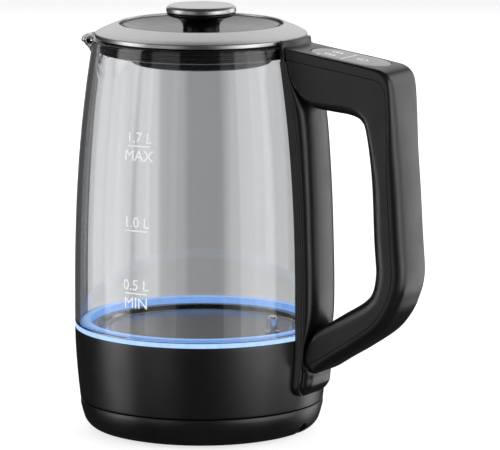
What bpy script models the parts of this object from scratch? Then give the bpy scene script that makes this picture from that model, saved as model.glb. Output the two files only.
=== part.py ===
"""Glass electric kettle standing on its 360 degree power base, modelled as separate parts.

Run it with: blender --background --python part.py

Lengths below are in millimetres, and MM turns them into metres when a mesh is made. Everything
is drawn about the kettle's upright axis, with +X towards the handle and -X towards the spout, and
three empties on that axis carry the power base, the kettle and the lid.
"""

import math

import bmesh
import bpy
import numpy as np
from mathutils import Matrix

MM = 0.001
GAP = 0.3  # clearance between pieces that touch
STEPS = 36  # facets round a large turned piece
FINE_STEPS = 60  # facets round the glass and what hugs it
INNER_STEPS = 24  # facets round the connector, the plate and other inner pieces
SMALL_STEPS = 12  # facets round screws, pins and feet

# Body: the glass, the black housing under it and the power base
BODY_RADIUS = 74.3
RIM_RADIUS = BODY_RADIUS - 11.5
RIM_Z = 230.0
HOUSING_FOOT_RADIUS = BODY_RADIUS - 3.0
HOUSING_FOOT_Z = 18.6
HOUSING_TOP_Z = 60.0
HOUSING_WALL = 2.4
HOUSING_POWER = 1.7
SHELF_Z = HOUSING_TOP_Z - 5.5
SHELF_RADIUS = BODY_RADIUS - 12.4
GLASS_WALL = 3.0
GLASS_FOOT_Z = HOUSING_TOP_Z + 3.6
GLASS_TURN_Z = HOUSING_TOP_Z + 13.0  # the glass starts to lean in above this height
LEAN_POWER = 2.36

# Spout, drawn out of the glass opposite the handle
SPOUT_REACH = BODY_RADIUS + 7.5
SPOUT_START_Z = RIM_Z - 28.7
SPOUT_TIP_Z = RIM_Z - 6.6
SPOUT_POWER = 1.85
SPOUT_LOW_ANGLE = 9.0
SPOUT_HIGH_ANGLE = 23.0

# Power base
BASE_RADIUS = HOUSING_FOOT_RADIUS - 0.1
BASE_FLOOR_RADIUS = BASE_RADIUS - 10.7
BASE_TOP_Z = HOUSING_FOOT_Z - GAP
BASE_FLOOR_Z = 1.0
BASE_WALL = 2.4
BASE_PLATE_Z = BASE_TOP_Z - 2.8
BASE_COVER_THICKNESS = 2.6
FOOT_RADIUS = 6.0
FOOT_HEIGHT = 2.0
FOOT_CIRCLE = BASE_FLOOR_RADIUS - 10.5
FOOT_ANGLES = (-60, 30, 120, 210)
BASE_SCREW_CIRCLE = 36.0
SCREW_ANGLES = (60, 180, 300)
SCREW_HEAD_RADIUS = 2.8
SCREW_HEAD_HEIGHT = 1.4
SCREW_SHANK_RADIUS = 1.4
SCREW_LENGTH = 9.0
CORD_INLET_WIDTH = 6.5
CORD_INLET_TOP_Z = 9.0

# 360 degree connector
POST_RADIUS = 14.0
POST_TOP_Z = HOUSING_FOOT_Z + 8.4
POST_FLANGE_RADIUS = 18.0
POST_FLANGE_Z = BASE_PLATE_Z - 5.2
CONTACT_SLOT = (8.2, 10.4)
CONTACT_HOLE_RADIUS = 2.6
CONTACT_Z = BASE_PLATE_Z + 0.5
COUPLER_RADIUS = 17.2
COUPLER_FLANGE_RADIUS = 22.0
COUPLER_TOP_Z = HOUSING_FOOT_Z + 19.4
PIN_RADIUS = 1.6
PIN_TOP_Z = POST_TOP_Z + 7.2

# Housing floor and what stands on it
COVER_Z = HOUSING_FOOT_Z + 1.0
COVER_THICKNESS = 3.0
COVER_SCREW_CIRCLE = HOUSING_FOOT_RADIUS - 8.8
BOSS_RADIUS = 3.8
BOARD_X = (25.5, BODY_RADIUS - 15.8)
BOARD_WIDTH = 42.0
BOARD_Z = COVER_Z + 8.4
BOARD_THICKNESS = 1.6
RELAY_SIZE = (19.0, 15.5, 15.5)

# Light ring, heating plate and element
RING_RADII = (BODY_RADIUS - 9.1, BODY_RADIUS - GLASS_WALL - 0.5)
RING_BAND_Z = (HOUSING_TOP_Z + 0.6, HOUSING_TOP_Z + 2.2)
RING_LIP_Z = HOUSING_TOP_Z + 6.8
LED_BOARD_RADII = (BODY_RADIUS - 8.3, BODY_RADIUS - 3.3)
LED_BOARD_Z = (HOUSING_TOP_Z - 1.3, HOUSING_TOP_Z - 0.3)
SEAL_THICKNESS = 0.8
PLATE_RADIUS = RING_RADII[0] - 0.9
PLATE_FLOOR_RADIUS = PLATE_RADIUS - 11.6
PLATE_RIM_Z = HOUSING_TOP_Z + 1.6
PLATE_FLOOR_Z = HOUSING_TOP_Z - 0.5
PLATE_THICKNESS = 1.0
PROBE_CIRCLE = PLATE_FLOOR_RADIUS - 7.7
PROBE_ANGLE = 5.5
PROBE_RADIUS = 3.0
PROBE_HEIGHT = 9.5
SPREADER_RADIUS = PROBE_CIRCLE - 4.0
SPREADER_THICKNESS = 2.5
ELEMENT_CIRCLE = SPREADER_RADIUS - 7.5
ELEMENT_TUBE_RADIUS = 3.4
ELEMENT_SWEEP = 320.0
CUTOUT_RADIUS = 7.0
CUTOUT_HEIGHT = 6.0

# Handle
HANDLE_DEPTH = 66.7  # from the widest body radius out to the back of the grip
HANDLE_WIDTH = 33.0
HANDLE_WALL = 2.2
COVER_WRAP = 6.8  # how far the outer cover comes round onto the handle's sides
TOP_SLOPE = 0.134
SPINE_WIDTH = HANDLE_WIDTH + 2.0
SPINE_PROUD = 8.9
COLLAR_WALL = 2.6
COLLAR_TOP_Z = RIM_Z + 3.8
COLLAR_DEPTH = 12.0
COLLAR_WIDTH = HANDLE_WIDTH + 1.0
PANEL_X = (BODY_RADIUS + 0.2, BODY_RADIUS + HANDLE_DEPTH - 17.1)
PANEL_RADIUS = HANDLE_WIDTH / 2 - 3.0
PANEL_THICKNESS = 1.9
DISPLAY_SIZE = (13.0, HANDLE_WIDTH - 15.0, 2.6)
DISPLAY_X = BODY_RADIUS + 13.7
CONTROL_BOARD_SIZE = (42.0, HANDLE_WIDTH - 10.0, 1.6)
CABLE_RADIUS = 1.5
CABLE_HOLE_RADIUS = 2.3
CABLE_Z = HOUSING_TOP_Z - 9.0
HANDLE_SCREW_Z = HOUSING_FOOT_Z + 15.4
HANDLE_SCREW_SPREAD = 9.0

# Lid
LID_EDGE_RADIUS = RIM_RADIUS - 1.1
LID_EDGE_Z = RIM_Z + 3.4
LID_RING_INNER_RADIUS = LID_EDGE_RADIUS - 13.9
LID_CROWN_Z = RIM_Z + 9.0
LID_SHEET = 1.0
DISH_RADIUS = LID_RING_INNER_RADIUS - 2.5
DISH_EDGE_Z = LID_CROWN_Z - 0.8
DISH_CENTRE_Z = LID_CROWN_Z - 4.5
PLUG_RADIUS = RIM_RADIUS - 5.8
PLUG_RIB = 2.2
PLUG_RIBS = 4
PLUG_BOTTOM_Z = RIM_Z - 8.5
CUP_RADIUS = PLUG_RADIUS - 16.0
CUP_BOTTOM_Z = RIM_Z - 13.0
STEM_RADIUS = 10.6
KNOB_RADIUS = 20.3
KNOB_FOOT_Z = LID_CROWN_Z + 6.1
KNOB_TOP_Z = KNOB_FOOT_Z + 4.4

AXIS_X = (SPOUT_REACH - BODY_RADIUS - HANDLE_DEPTH) / 2


# ---------------------------------------------------------------- scene and materials


def clear_scene():
    for obj in list(bpy.data.objects):
        bpy.data.objects.remove(obj)


def collection(name):
    made = bpy.data.collections.new(name)
    bpy.context.scene.collection.children.link(made)
    return made


def axis_empty(name):
    empty = bpy.data.objects.new(name, None)
    empty.empty_display_size = 20 * MM
    empty.location = (AXIS_X * MM, 0, 0)
    PARTS.objects.link(empty)
    return empty


def material(name, colour, roughness, metallic=0.0, glow=0.0, transmission=0.0):
    made = bpy.data.materials.new(name)
    made.use_nodes = True
    shader = made.node_tree.nodes["Principled BSDF"]
    shader.inputs["Base Color"].default_value = (*colour, 1)
    shader.inputs["Roughness"].default_value = roughness
    shader.inputs["Metallic"].default_value = metallic
    shader.inputs["Emission Color"].default_value = (*colour, 1)
    shader.inputs["Emission Strength"].default_value = glow
    shader.inputs["Transmission Weight"].default_value = transmission
    return made


# ---------------------------------------------------------------- shapes


def add_mesh(name, mesh, finish, carrier):
    """Links a mesh as a named part on its carrier, or as a hidden cutter where it has no finish."""
    obj = bpy.data.objects.new(name, mesh)
    (PARTS if finish else CUTTERS).objects.link(obj)
    obj.parent = carrier
    if finish:
        mesh.materials.append(finish)
    else:
        obj.hide_render = True
        obj.display_type = "WIRE"
    return obj


def is_clockwise(profile):
    r, z = np.array(profile, float).T
    return np.sum(r * np.roll(z, -1) - np.roll(r, -1) * z) < 0


def turned(name, profile, finish, carrier, steps=STEPS, centre=(0, 0)):
    """A turned piece from (radius, z) points: a loop, or a chain whose two ends are on the axis."""
    chain = profile if is_clockwise(profile) else profile[::-1]
    on_axis = [radius == 0 for radius, _ in chain]
    if any(on_axis):
        while not (on_axis[0] and on_axis[-1]):
            chain, on_axis = chain[1:] + chain[:1], on_axis[1:] + on_axis[:1]
    mesh = bpy.data.meshes.new(name)
    edges = [(i, i + 1) for i in range(len(chain) - 1)]
    if not any(on_axis):
        edges.append((len(chain) - 1, 0))
    mesh.from_pydata([(r * MM, 0, z * MM) for r, z in chain], edges, [])
    obj = add_mesh(name, mesh, finish, carrier)
    obj.location = (centre[0] * MM, centre[1] * MM, 0)
    screw = obj.modifiers.new("turn", "SCREW")
    screw.axis = "Z"
    screw.steps = screw.render_steps = steps
    screw.use_merge_vertices = True
    screw.merge_threshold = 0.00001
    screw.use_smooth_shade = True
    return obj


def rod(name, radius, z0, z1, finish, carrier, centre=(0, 0), steps=SMALL_STEPS):
    return turned(name, [(0, z1), (radius, z1), (radius, z0), (0, z0)], finish, carrier, steps, centre)


def ring(name, inner, outer, z0, z1, finish, carrier, steps=STEPS):
    return turned(name, [(inner, z1), (outer, z1), (outer, z0), (inner, z0)], finish, carrier, steps)


def block(name, low, high, finish, carrier):
    """A box between two corners."""
    mesh = bpy.data.meshes.new(name)
    build = bmesh.new()
    bmesh.ops.create_cube(build, size=1.0)
    size = np.subtract(high, low) * MM
    middle = np.add(high, low) / 2 * MM
    bmesh.ops.transform(
        build, matrix=Matrix.Translation(middle) @ Matrix.Diagonal((*size, 1)), verts=build.verts
    )
    build.to_mesh(mesh)
    build.free()
    return add_mesh(name, mesh, finish, carrier)


def lying_rod(name, radius, x0, x1, y, z, finish, carrier):
    """A cylinder along X."""
    mesh = bpy.data.meshes.new(name)
    build = bmesh.new()
    bmesh.ops.create_cone(
        build, cap_ends=True, segments=SMALL_STEPS, radius1=radius * MM, radius2=radius * MM,
        depth=(x1 - x0) * MM,
    )
    place = Matrix.Translation(((x0 + x1) / 2 * MM, y * MM, z * MM)) @ Matrix.Rotation(math.pi / 2, 4, "Y")
    bmesh.ops.transform(build, matrix=place, verts=build.verts)
    build.to_mesh(mesh)
    build.free()
    return add_mesh(name, mesh, finish, carrier)


def outline_curve(points, half_thickness):
    curve = bpy.data.curves.new("outline", "CURVE")
    curve.dimensions = "2D"
    curve.fill_mode = "BOTH"
    curve.extrude = half_thickness * MM
    spline = curve.splines.new("POLY")
    spline.points.add(len(points) - 1)
    for point, (across, up) in zip(spline.points, points):
        point.co = (across * MM, up * MM, 0, 1)
    spline.use_cyclic_u = True
    return curve


def curve_to_part(name, curve, place, finish, carrier):
    """Makes a curve a welded mesh with its place applied, so that Booleans can use it."""
    drawn = bpy.data.objects.new("drawn", curve)
    bpy.context.scene.collection.objects.link(drawn)
    drawn.matrix_world = place
    bpy.context.view_layer.update()
    mesh = bpy.data.meshes.new_from_object(drawn.evaluated_get(bpy.context.evaluated_depsgraph_get()))
    mesh.name = name
    build = bmesh.new()
    build.from_mesh(mesh)
    bmesh.ops.remove_doubles(build, verts=build.verts, dist=0.00001)
    bmesh.ops.transform(build, matrix=drawn.matrix_world, verts=build.verts)
    bmesh.ops.recalc_face_normals(build, faces=build.faces)
    build.to_mesh(mesh)
    build.free()
    bpy.data.objects.remove(drawn)
    return add_mesh(name, mesh, finish, carrier)


def side_outline(name, points, width, finish, carrier):
    """A closed outline of (x, z) points, as thick as width and centred on the plane y = 0."""
    upright = Matrix.Rotation(math.pi / 2, 4, "X")
    return curve_to_part(name, outline_curve(points, width / 2), upright, finish, carrier)


def boolean(obj, cutter, operation="DIFFERENCE"):
    step = obj.modifiers.new(operation.lower(), "BOOLEAN")
    step.operation = operation
    step.object = cutter
    step.solver = "MANIFOLD"  # the exact solver leaves cracks where many holes are cut in a row


def around(angle, circle):
    return circle * math.cos(math.radians(angle)), circle * math.sin(math.radians(angle))


def smooth_line(points, cuts=4):
    """A Catmull-Rom curve through the points, with cuts pieces between each two."""
    p = np.array(points, float)
    p = np.vstack([2 * p[0] - p[1], p, 2 * p[-1] - p[-2]])
    t = np.linspace(0, 1, cuts, endpoint=False)[:, None]
    runs = [
        0.5 * (2 * b + (c - a) * t + (2 * a - 5 * b + 4 * c - d) * t**2 + (3 * b - a - 3 * c + d) * t**3)
        for a, b, c, d in zip(p, p[1:], p[2:], p[3:])
    ]
    return np.vstack(runs + [p[-2:-1]])


def offset_line(line, distance):
    """The line moved sideways, to the right of its direction of travel, less any folds at tight bends."""
    along = np.gradient(line, axis=0)
    along /= np.linalg.norm(along, axis=1)[:, None]
    moved = line + distance * np.column_stack([along[:, 1], -along[:, 0]])
    nearest = np.linalg.norm(moved[:, None] - line[None], axis=2).min(axis=1)
    return moved[nearest > 0.97 * distance]


# ---------------------------------------------------------------- the body's outline


def housing_radius(z):
    down = (HOUSING_TOP_Z - z) / (HOUSING_TOP_Z - HOUSING_FOOT_Z)
    return BODY_RADIUS - (BODY_RADIUS - HOUSING_FOOT_RADIUS) * np.clip(down, 0, 1) ** HOUSING_POWER


def glass_radius(z):
    up = (z - GLASS_TURN_Z) / (RIM_Z - GLASS_TURN_Z)
    return BODY_RADIUS - (BODY_RADIUS - RIM_RADIUS) * np.clip(up, 0, 1) ** LEAN_POWER


def body_heights():
    return np.linspace(HOUSING_FOOT_Z, HOUSING_TOP_Z, 5), np.linspace(GLASS_FOOT_Z, RIM_Z, 11)


def body_envelope(name, grow):
    """A cutter with the outline of housing and glass, grown by a clearance."""
    low, high = body_heights()
    side = [(housing_radius(z) + grow, z) for z in low] + [(glass_radius(z) + grow, z) for z in high]
    top, bottom = COLLAR_TOP_Z + 20, HOUSING_FOOT_Z - 10
    profile = [(0, top), (side[-1][0], top)] + side[::-1] + [(side[0][0], bottom), (0, bottom)]
    return turned(name, profile, None, KETTLE, FINE_STEPS)


# ---------------------------------------------------------------- power base


def base_shell():
    inner_floor = BASE_FLOOR_RADIUS - 1.2
    profile = [
        (BASE_RADIUS, BASE_TOP_Z),
        (BASE_RADIUS, BASE_PLATE_Z),
        (BASE_RADIUS - 1.2, 10.4),
        (BASE_RADIUS - 2.9, 5.6),
        (BASE_RADIUS - 7.2, 2.0),
        (BASE_FLOOR_RADIUS, BASE_FLOOR_Z),
        (inner_floor, BASE_FLOOR_Z),
        (inner_floor, BASE_FLOOR_Z + BASE_COVER_THICKNESS),
        (BASE_RADIUS - 2.9 - BASE_WALL, 7.4),
        (BASE_RADIUS - 0.4 - BASE_WALL, BASE_PLATE_Z - BASE_WALL),
        (POST_RADIUS + GAP, BASE_PLATE_Z - BASE_WALL),
        (POST_RADIUS + GAP, BASE_PLATE_Z),
        (BASE_RADIUS - 5.7, BASE_PLATE_Z),
        (BASE_RADIUS - 3.9, BASE_TOP_Z),
    ]
    shell = turned("base_shell", profile, BLACK_PLASTIC, BASE)
    boss_foot = BASE_FLOOR_Z + BASE_COVER_THICKNESS + GAP
    for angle in SCREW_ANGLES:
        spot = around(angle, BASE_SCREW_CIRCLE)
        boss = rod("base_boss", BOSS_RADIUS, boss_foot, BASE_PLATE_Z - 1, None, BASE, spot)
        boolean(shell, boss, "UNION")
    for angle in SCREW_ANGLES:
        spot = around(angle, BASE_SCREW_CIRCLE)
        hole_top = BASE_FLOOR_Z + SCREW_HEAD_HEIGHT + SCREW_LENGTH + 1
        boolean(shell, rod("boss_hole", SCREW_SHANK_RADIUS + GAP, 0, hole_top, None, BASE, spot))
    half = CORD_INLET_WIDTH / 2
    spring = CORD_INLET_TOP_Z - half
    turn = np.linspace(0, math.pi, 9)
    arch = [(half * math.cos(a), spring + half * math.sin(a)) for a in turn]
    curve = outline_curve(arch + [(-half, -1), (half, -1)], 12)
    place = (
        Matrix.Translation((BASE_RADIUS * MM, 0, 0))
        @ Matrix.Rotation(math.pi / 2, 4, "Z")
        @ Matrix.Rotation(math.pi / 2, 4, "X")
    )
    boolean(shell, curve_to_part("cord_inlet", curve, place, None, BASE))


def base_bottom_cover():
    radius = BASE_FLOOR_RADIUS - 1.2 - GAP
    top = BASE_FLOOR_Z + BASE_COVER_THICKNESS
    cover = rod("base_bottom_cover", radius, BASE_FLOOR_Z, top, BLACK_PLASTIC, BASE, steps=STEPS)
    for angle in SCREW_ANGLES:
        spot = around(angle, BASE_SCREW_CIRCLE)
        head_room = BASE_FLOOR_Z + SCREW_HEAD_HEIGHT + 2 * GAP
        boolean(cover, rod("head_room", SCREW_HEAD_RADIUS + GAP, 0, head_room, None, BASE, spot))
        boolean(cover, rod("shank_room", SCREW_SHANK_RADIUS + GAP, 0, top + 1, None, BASE, spot))
    for angle in FOOT_ANGLES:
        spot = around(angle, FOOT_CIRCLE)
        boolean(cover, rod("foot_room", FOOT_RADIUS + GAP, 0, FOOT_HEIGHT + GAP, None, BASE, spot))


def screw(name, foot_z, spot, finish, carrier, length=SCREW_LENGTH):
    """A pan-head screw standing on its head, driven upwards."""
    neck = foot_z + SCREW_HEAD_HEIGHT
    profile = [
        (0, neck + length),
        (SCREW_SHANK_RADIUS, neck + length),
        (SCREW_SHANK_RADIUS, neck),
        (SCREW_HEAD_RADIUS, neck),
        (SCREW_HEAD_RADIUS - 0.5, foot_z),
        (0, foot_z),
    ]
    return turned(name, profile, finish, carrier, SMALL_STEPS, spot)


def base_feet_and_screws():
    for number, angle in enumerate(FOOT_ANGLES, 1):
        side = [(FOOT_RADIUS, FOOT_HEIGHT), (FOOT_RADIUS, 0.5), (FOOT_RADIUS - 0.5, 0)]
        profile = [(0, FOOT_HEIGHT)] + side + [(0, 0)]
        turned(f"base_foot_{number}", profile, RUBBER, BASE, SMALL_STEPS, around(angle, FOOT_CIRCLE))
    for number, angle in enumerate(SCREW_ANGLES, 1):
        spot = around(angle, BASE_SCREW_CIRCLE)
        screw(f"base_screw_{number}", BASE_FLOOR_Z + GAP, spot, SCREW_STEEL, BASE, SCREW_LENGTH - 1)


def base_connector():
    slot_in, slot_out = CONTACT_SLOT
    profile = [
        (CONTACT_HOLE_RADIUS, POST_TOP_Z),
        (slot_in, POST_TOP_Z),
        (slot_in, CONTACT_Z),
        (slot_out, CONTACT_Z),
        (slot_out, POST_TOP_Z),
        (POST_RADIUS - 1, POST_TOP_Z),
        (POST_RADIUS, POST_TOP_Z - 1),
        (POST_RADIUS, BASE_PLATE_Z - BASE_WALL - GAP),
        (POST_FLANGE_RADIUS, BASE_PLATE_Z - BASE_WALL - GAP),
        (POST_FLANGE_RADIUS, POST_FLANGE_Z),
        (CONTACT_HOLE_RADIUS, POST_FLANGE_Z),
    ]
    turned("base_connector_post", profile, GREY_PLASTIC, BASE, INNER_STEPS)
    rod("base_live_contact", CONTACT_HOLE_RADIUS - GAP, POST_FLANGE_Z, CONTACT_Z, BRASS, BASE)
    ring(
        "base_neutral_contact", slot_in + GAP, slot_out - GAP, CONTACT_Z + GAP, CONTACT_Z + 2, BRASS, BASE,
        INNER_STEPS,
    )


# ---------------------------------------------------------------- coupler under the kettle


def kettle_coupler():
    slot_in, slot_out = CONTACT_SLOT
    slot_top = PIN_TOP_Z + GAP
    hole = PIN_RADIUS + GAP
    flange_z = COVER_Z + COVER_THICKNESS + GAP
    profile = [
        (hole, COUPLER_TOP_Z),
        (COUPLER_RADIUS, COUPLER_TOP_Z),
        (COUPLER_RADIUS, flange_z + 2.2),
        (COUPLER_FLANGE_RADIUS, flange_z + 2.2),
        (COUPLER_FLANGE_RADIUS, flange_z),
        (COUPLER_RADIUS, flange_z),
        (COUPLER_RADIUS, COVER_Z),
        (POST_RADIUS + 2 * GAP, COVER_Z),
        (POST_RADIUS + 2 * GAP, POST_TOP_Z + 2 * GAP),
        (slot_out, POST_TOP_Z + 2 * GAP),
        (slot_out, slot_top),
        (slot_in, slot_top),
        (slot_in, POST_TOP_Z + 2 * GAP),
        (hole, POST_TOP_Z + 2 * GAP),
    ]
    turned("kettle_coupler", profile, GREY_PLASTIC, KETTLE, INNER_STEPS)
    rod("coupler_centre_pin", PIN_RADIUS, CONTACT_Z + GAP, PIN_TOP_Z, BRASS, KETTLE)
    blade_foot = CONTACT_Z + 2 + GAP
    ring(
        "coupler_contact_ring", slot_in + 0.5, slot_out - 0.5, blade_foot, PIN_TOP_Z, BRASS, KETTLE,
        INNER_STEPS,
    )


# ---------------------------------------------------------------- housing


def lower_housing():
    low, _ = body_heights()
    channel_z = LED_BOARD_Z[0] - GAP
    channel_radius = LED_BOARD_RADII[1] + GAP
    outside = [(housing_radius(z), z) for z in low[::-1]]
    inside = [(housing_radius(z) - HOUSING_WALL, z) for z in low if z < SHELF_Z]
    shelf = [
        (BODY_RADIUS - HOUSING_WALL, SHELF_Z),
        (SHELF_RADIUS, SHELF_Z),
        (SHELF_RADIUS, RING_BAND_Z[0] - GAP),
        (RING_RADII[0], RING_BAND_Z[0] - GAP),
        (RING_RADII[0], channel_z),
        (channel_radius, channel_z),
        (channel_radius, HOUSING_TOP_Z),
    ]
    housing = turned("lower_housing", outside + inside + shelf, BLACK_PLASTIC, KETTLE)
    boss_foot = COVER_Z + COVER_THICKNESS + GAP
    for angle in SCREW_ANGLES:
        spot = around(angle, COVER_SCREW_CIRCLE)
        boss = rod("cover_boss", BOSS_RADIUS, boss_foot, SHELF_Z + 1, None, KETTLE, spot)
        boolean(housing, boss, "UNION")
    for angle in SCREW_ANGLES:
        spot = around(angle, COVER_SCREW_CIRCLE)
        hole_top = COVER_Z + SCREW_HEAD_HEIGHT + SCREW_LENGTH + 2
        boolean(housing, rod("boss_hole", SCREW_SHANK_RADIUS + GAP, COVER_Z, hole_top, None, KETTLE, spot))
    for cutter in (cable_hole(), *handle_screw_holes()):
        boolean(housing, cutter)


def housing_bottom_cover():
    top = COVER_Z + COVER_THICKNESS
    outer = housing_radius(COVER_Z) - HOUSING_WALL - GAP
    cover = ring(
        "housing_bottom_cover", COUPLER_RADIUS + GAP, outer, COVER_Z, top, BLACK_PLASTIC, KETTLE
    )
    for x in (BOARD_X[0] + 4, BOARD_X[1] - 4):
        for y in (BOARD_WIDTH / 2 - 4, 4 - BOARD_WIDTH / 2):
            post = rod("board_post", 2.5, COVER_Z + 1, BOARD_Z - GAP, None, KETTLE, (x, y))
            boolean(cover, post, "UNION")
    for number, angle in enumerate(SCREW_ANGLES, 1):
        spot = around(angle, COVER_SCREW_CIRCLE)
        head_room = COVER_Z + SCREW_HEAD_HEIGHT + 2 * GAP
        low = COVER_Z - 2
        boolean(cover, rod("head_room", SCREW_HEAD_RADIUS + GAP, low, head_room, None, KETTLE, spot))
        boolean(cover, rod("shank_room", SCREW_SHANK_RADIUS + GAP, low, top + 1, None, KETTLE, spot))
        screw(f"bottom_cover_screw_{number}", COVER_Z + GAP, spot, SCREW_STEEL, KETTLE)


def power_electronics():
    half = BOARD_WIDTH / 2
    top = BOARD_Z + BOARD_THICKNESS
    block("power_board", (BOARD_X[0], -half, BOARD_Z), (BOARD_X[1], half, top), BOARD_GREEN, KETTLE)
    length, width, height = RELAY_SIZE
    x, y, z = BOARD_X[0] + 2, 4 - half, top + GAP
    block("heater_relay", (x, y, z), (x + length, y + width, z + height), BLACK_PLASTIC, KETTLE)


# ---------------------------------------------------------------- light ring, plate and element


def light_ring_and_seal():
    inner, lip = RING_RADII
    band_low, band_high = RING_BAND_Z
    profile = [
        (inner, RING_LIP_Z),
        (lip - 1.2, RING_LIP_Z),
        (lip, RING_LIP_Z - 1.2),
        (lip, band_high),
        (BODY_RADIUS - GAP, band_high),
        (BODY_RADIUS - GAP, band_low),
        (inner, band_low),
    ]
    turned("light_ring", profile, LIT_DIFFUSER, KETTLE)
    seal_z = band_high + GAP
    ring(
        "glass_seal", lip + 0.4, BODY_RADIUS - 0.5, seal_z, seal_z + SEAL_THICKNESS, RUBBER, KETTLE
    )
    ring("led_board", *LED_BOARD_RADII, *LED_BOARD_Z, BOARD_GREEN, KETTLE)


def heating_plate():
    """A pressed steel pan: a flat floor, a trough round it, and a raised rim that seats on the shelf."""
    t = PLATE_THICKNESS
    top = [
        (0, PLATE_FLOOR_Z),
        (PLATE_FLOOR_RADIUS, PLATE_FLOOR_Z),
        (PLATE_FLOOR_RADIUS + 2.5, PLATE_FLOOR_Z - 1.0),
        (PLATE_FLOOR_RADIUS + 6.5, PLATE_FLOOR_Z - 1.0),
        (SHELF_RADIUS - 0.8, PLATE_RIM_Z),
        (PLATE_RADIUS, PLATE_RIM_Z),
    ]
    under = [(PLATE_RADIUS, PLATE_RIM_Z - t + 0.3), (SHELF_RADIUS - 0.5, PLATE_RIM_Z - t + 0.3)]
    under += [
        (PLATE_FLOOR_RADIUS + 7.2, PLATE_FLOOR_Z - 1.0 - t),
        (PLATE_FLOOR_RADIUS + 2, PLATE_FLOOR_Z - 1.0 - t),
        (PLATE_FLOOR_RADIUS - 0.5, PLATE_FLOOR_Z - t),
        (0, PLATE_FLOOR_Z - t),
    ]
    plate = turned("heating_plate", top + under, STEEL, KETTLE, INNER_STEPS)
    hole = rod(
        "probe_hole", PROBE_RADIUS - 1 + GAP, PLATE_FLOOR_Z - 5, PLATE_FLOOR_Z + 5, None, KETTLE,
        around(PROBE_ANGLE, PROBE_CIRCLE),
    )
    boolean(plate, hole)


def temperature_probe():
    """A domed steel finger standing on the plate, with its stem through it."""
    low = PLATE_FLOOR_Z + GAP
    top = low + PROBE_HEIGHT
    turn = np.linspace(0, math.pi / 2, 4)
    dome = [(PROBE_RADIUS * math.sin(a), top - PROBE_RADIUS * (1 - math.cos(a))) for a in turn]
    stem = [(PROBE_RADIUS + 1, low + 0.8), (PROBE_RADIUS + 1, low), (PROBE_RADIUS - 1, low)]
    foot = [(PROBE_RADIUS - 1, PLATE_FLOOR_Z - 8), (0, PLATE_FLOOR_Z - 8)]
    profile = [(0, top)] + dome[1:] + [(PROBE_RADIUS, low + 0.8)] + stem + foot
    turned("temperature_probe", profile, STEEL, KETTLE, SMALL_STEPS, around(PROBE_ANGLE, PROBE_CIRCLE))


def heater():
    top = PLATE_FLOOR_Z - PLATE_THICKNESS - GAP
    low = top - SPREADER_THICKNESS
    rod("heat_spreader", SPREADER_RADIUS, low, top, ALUMINIUM, KETTLE, steps=INNER_STEPS)
    z = low - GAP - ELEMENT_TUBE_RADIUS
    sweep = np.radians(np.linspace(180 - ELEMENT_SWEEP / 2, 180 + ELEMENT_SWEEP / 2, 23))
    tube = [(ELEMENT_CIRCLE * math.cos(a), ELEMENT_CIRCLE * math.sin(a), z) for a in sweep]
    pipe("heating_element", tube, ELEMENT_TUBE_RADIUS, STEEL)
    for number, side in enumerate((-1, 1), 1):
        spot = (0, side * 2 * CUTOUT_RADIUS)
        top = low - GAP
        foot = top - CUTOUT_HEIGHT
        rod(f"thermal_cutout_{number}", CUTOUT_RADIUS, foot, top, ALUMINIUM, KETTLE, spot)


def pipe(name, points, radius, finish, bevel_resolution=2):
    """A round tube along (x, y, z) points."""
    curve = bpy.data.curves.new(name, "CURVE")
    curve.dimensions = "3D"
    curve.bevel_depth = radius * MM
    curve.bevel_resolution = bevel_resolution
    curve.use_fill_caps = True
    spline = curve.splines.new("POLY")
    spline.points.add(len(points) - 1)
    for point, at in zip(spline.points, points):
        point.co = (*(value * MM for value in at), 1)
    return curve_to_part(name, curve, Matrix.Identity(4), finish, KETTLE)


# ---------------------------------------------------------------- glass


def glass_body():
    """The glass wall with its spout: rings of points up the outside and down the inside.

    The spout pushes the wall out by a power of the height above its start, shaped across by a
    squared cosine, and lowers the rim towards the tip.
    """
    angle = np.arange(FINE_STEPS) * 2 * math.pi / FINE_STEPS
    from_spout = np.abs(np.degrees(angle) - 180)
    rim_shape = np.cos(np.clip(from_spout / SPOUT_HIGH_ANGLE, 0, 1) * math.pi / 2) ** 2
    top = RIM_Z - (RIM_Z - SPOUT_TIP_Z) * rim_shape
    levels = np.concatenate([np.linspace(0, 0.8, 6), np.linspace(0.84, 1.0, 5)])
    z = GLASS_FOOT_Z + levels[:, None] * (top - GLASS_FOOT_Z)
    rise = np.clip((z - SPOUT_START_Z) / (SPOUT_TIP_Z - SPOUT_START_Z), 0, 1)
    half_angle = SPOUT_LOW_ANGLE + (SPOUT_HIGH_ANGLE - SPOUT_LOW_ANGLE) * rise
    across = np.cos(np.clip(from_spout / half_angle, 0, 1) * math.pi / 2) ** 2
    bump = (SPOUT_REACH - glass_radius(SPOUT_TIP_Z)) * rise**SPOUT_POWER * across
    outer = glass_radius(z) + bump
    radius = np.vstack([outer, outer[::-1] - GLASS_WALL])
    height = np.vstack([z, z[::-1]])
    points = np.stack([radius * np.cos(angle), radius * np.sin(angle), height], axis=-1) * MM
    rings, sides = radius.shape
    faces = [
        (i * sides + j, i * sides + (j + 1) % sides,
         (i + 1) % rings * sides + (j + 1) % sides, (i + 1) % rings * sides + j)
        for i in range(rings)
        for j in range(sides)
    ]
    mesh = bpy.data.meshes.new("glass_body")
    mesh.from_pydata(points.reshape(-1, 3).tolist(), [], faces)
    add_mesh("glass_body", mesh, SMOKED_GLASS, KETTLE)


# ---------------------------------------------------------------- handle


def upper(out, below_rim):
    return BODY_RADIUS + out, RIM_Z - below_rim


def upper_grip(back, below_rim):
    return BODY_RADIUS + HANDLE_DEPTH - back, RIM_Z - below_rim


def lower_grip(back, above_housing):
    return BODY_RADIUS + HANDLE_DEPTH - back, HOUSING_TOP_Z + above_housing


def lower(out, above_housing):
    return BODY_RADIUS + out, HOUSING_TOP_Z + above_housing


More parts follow.
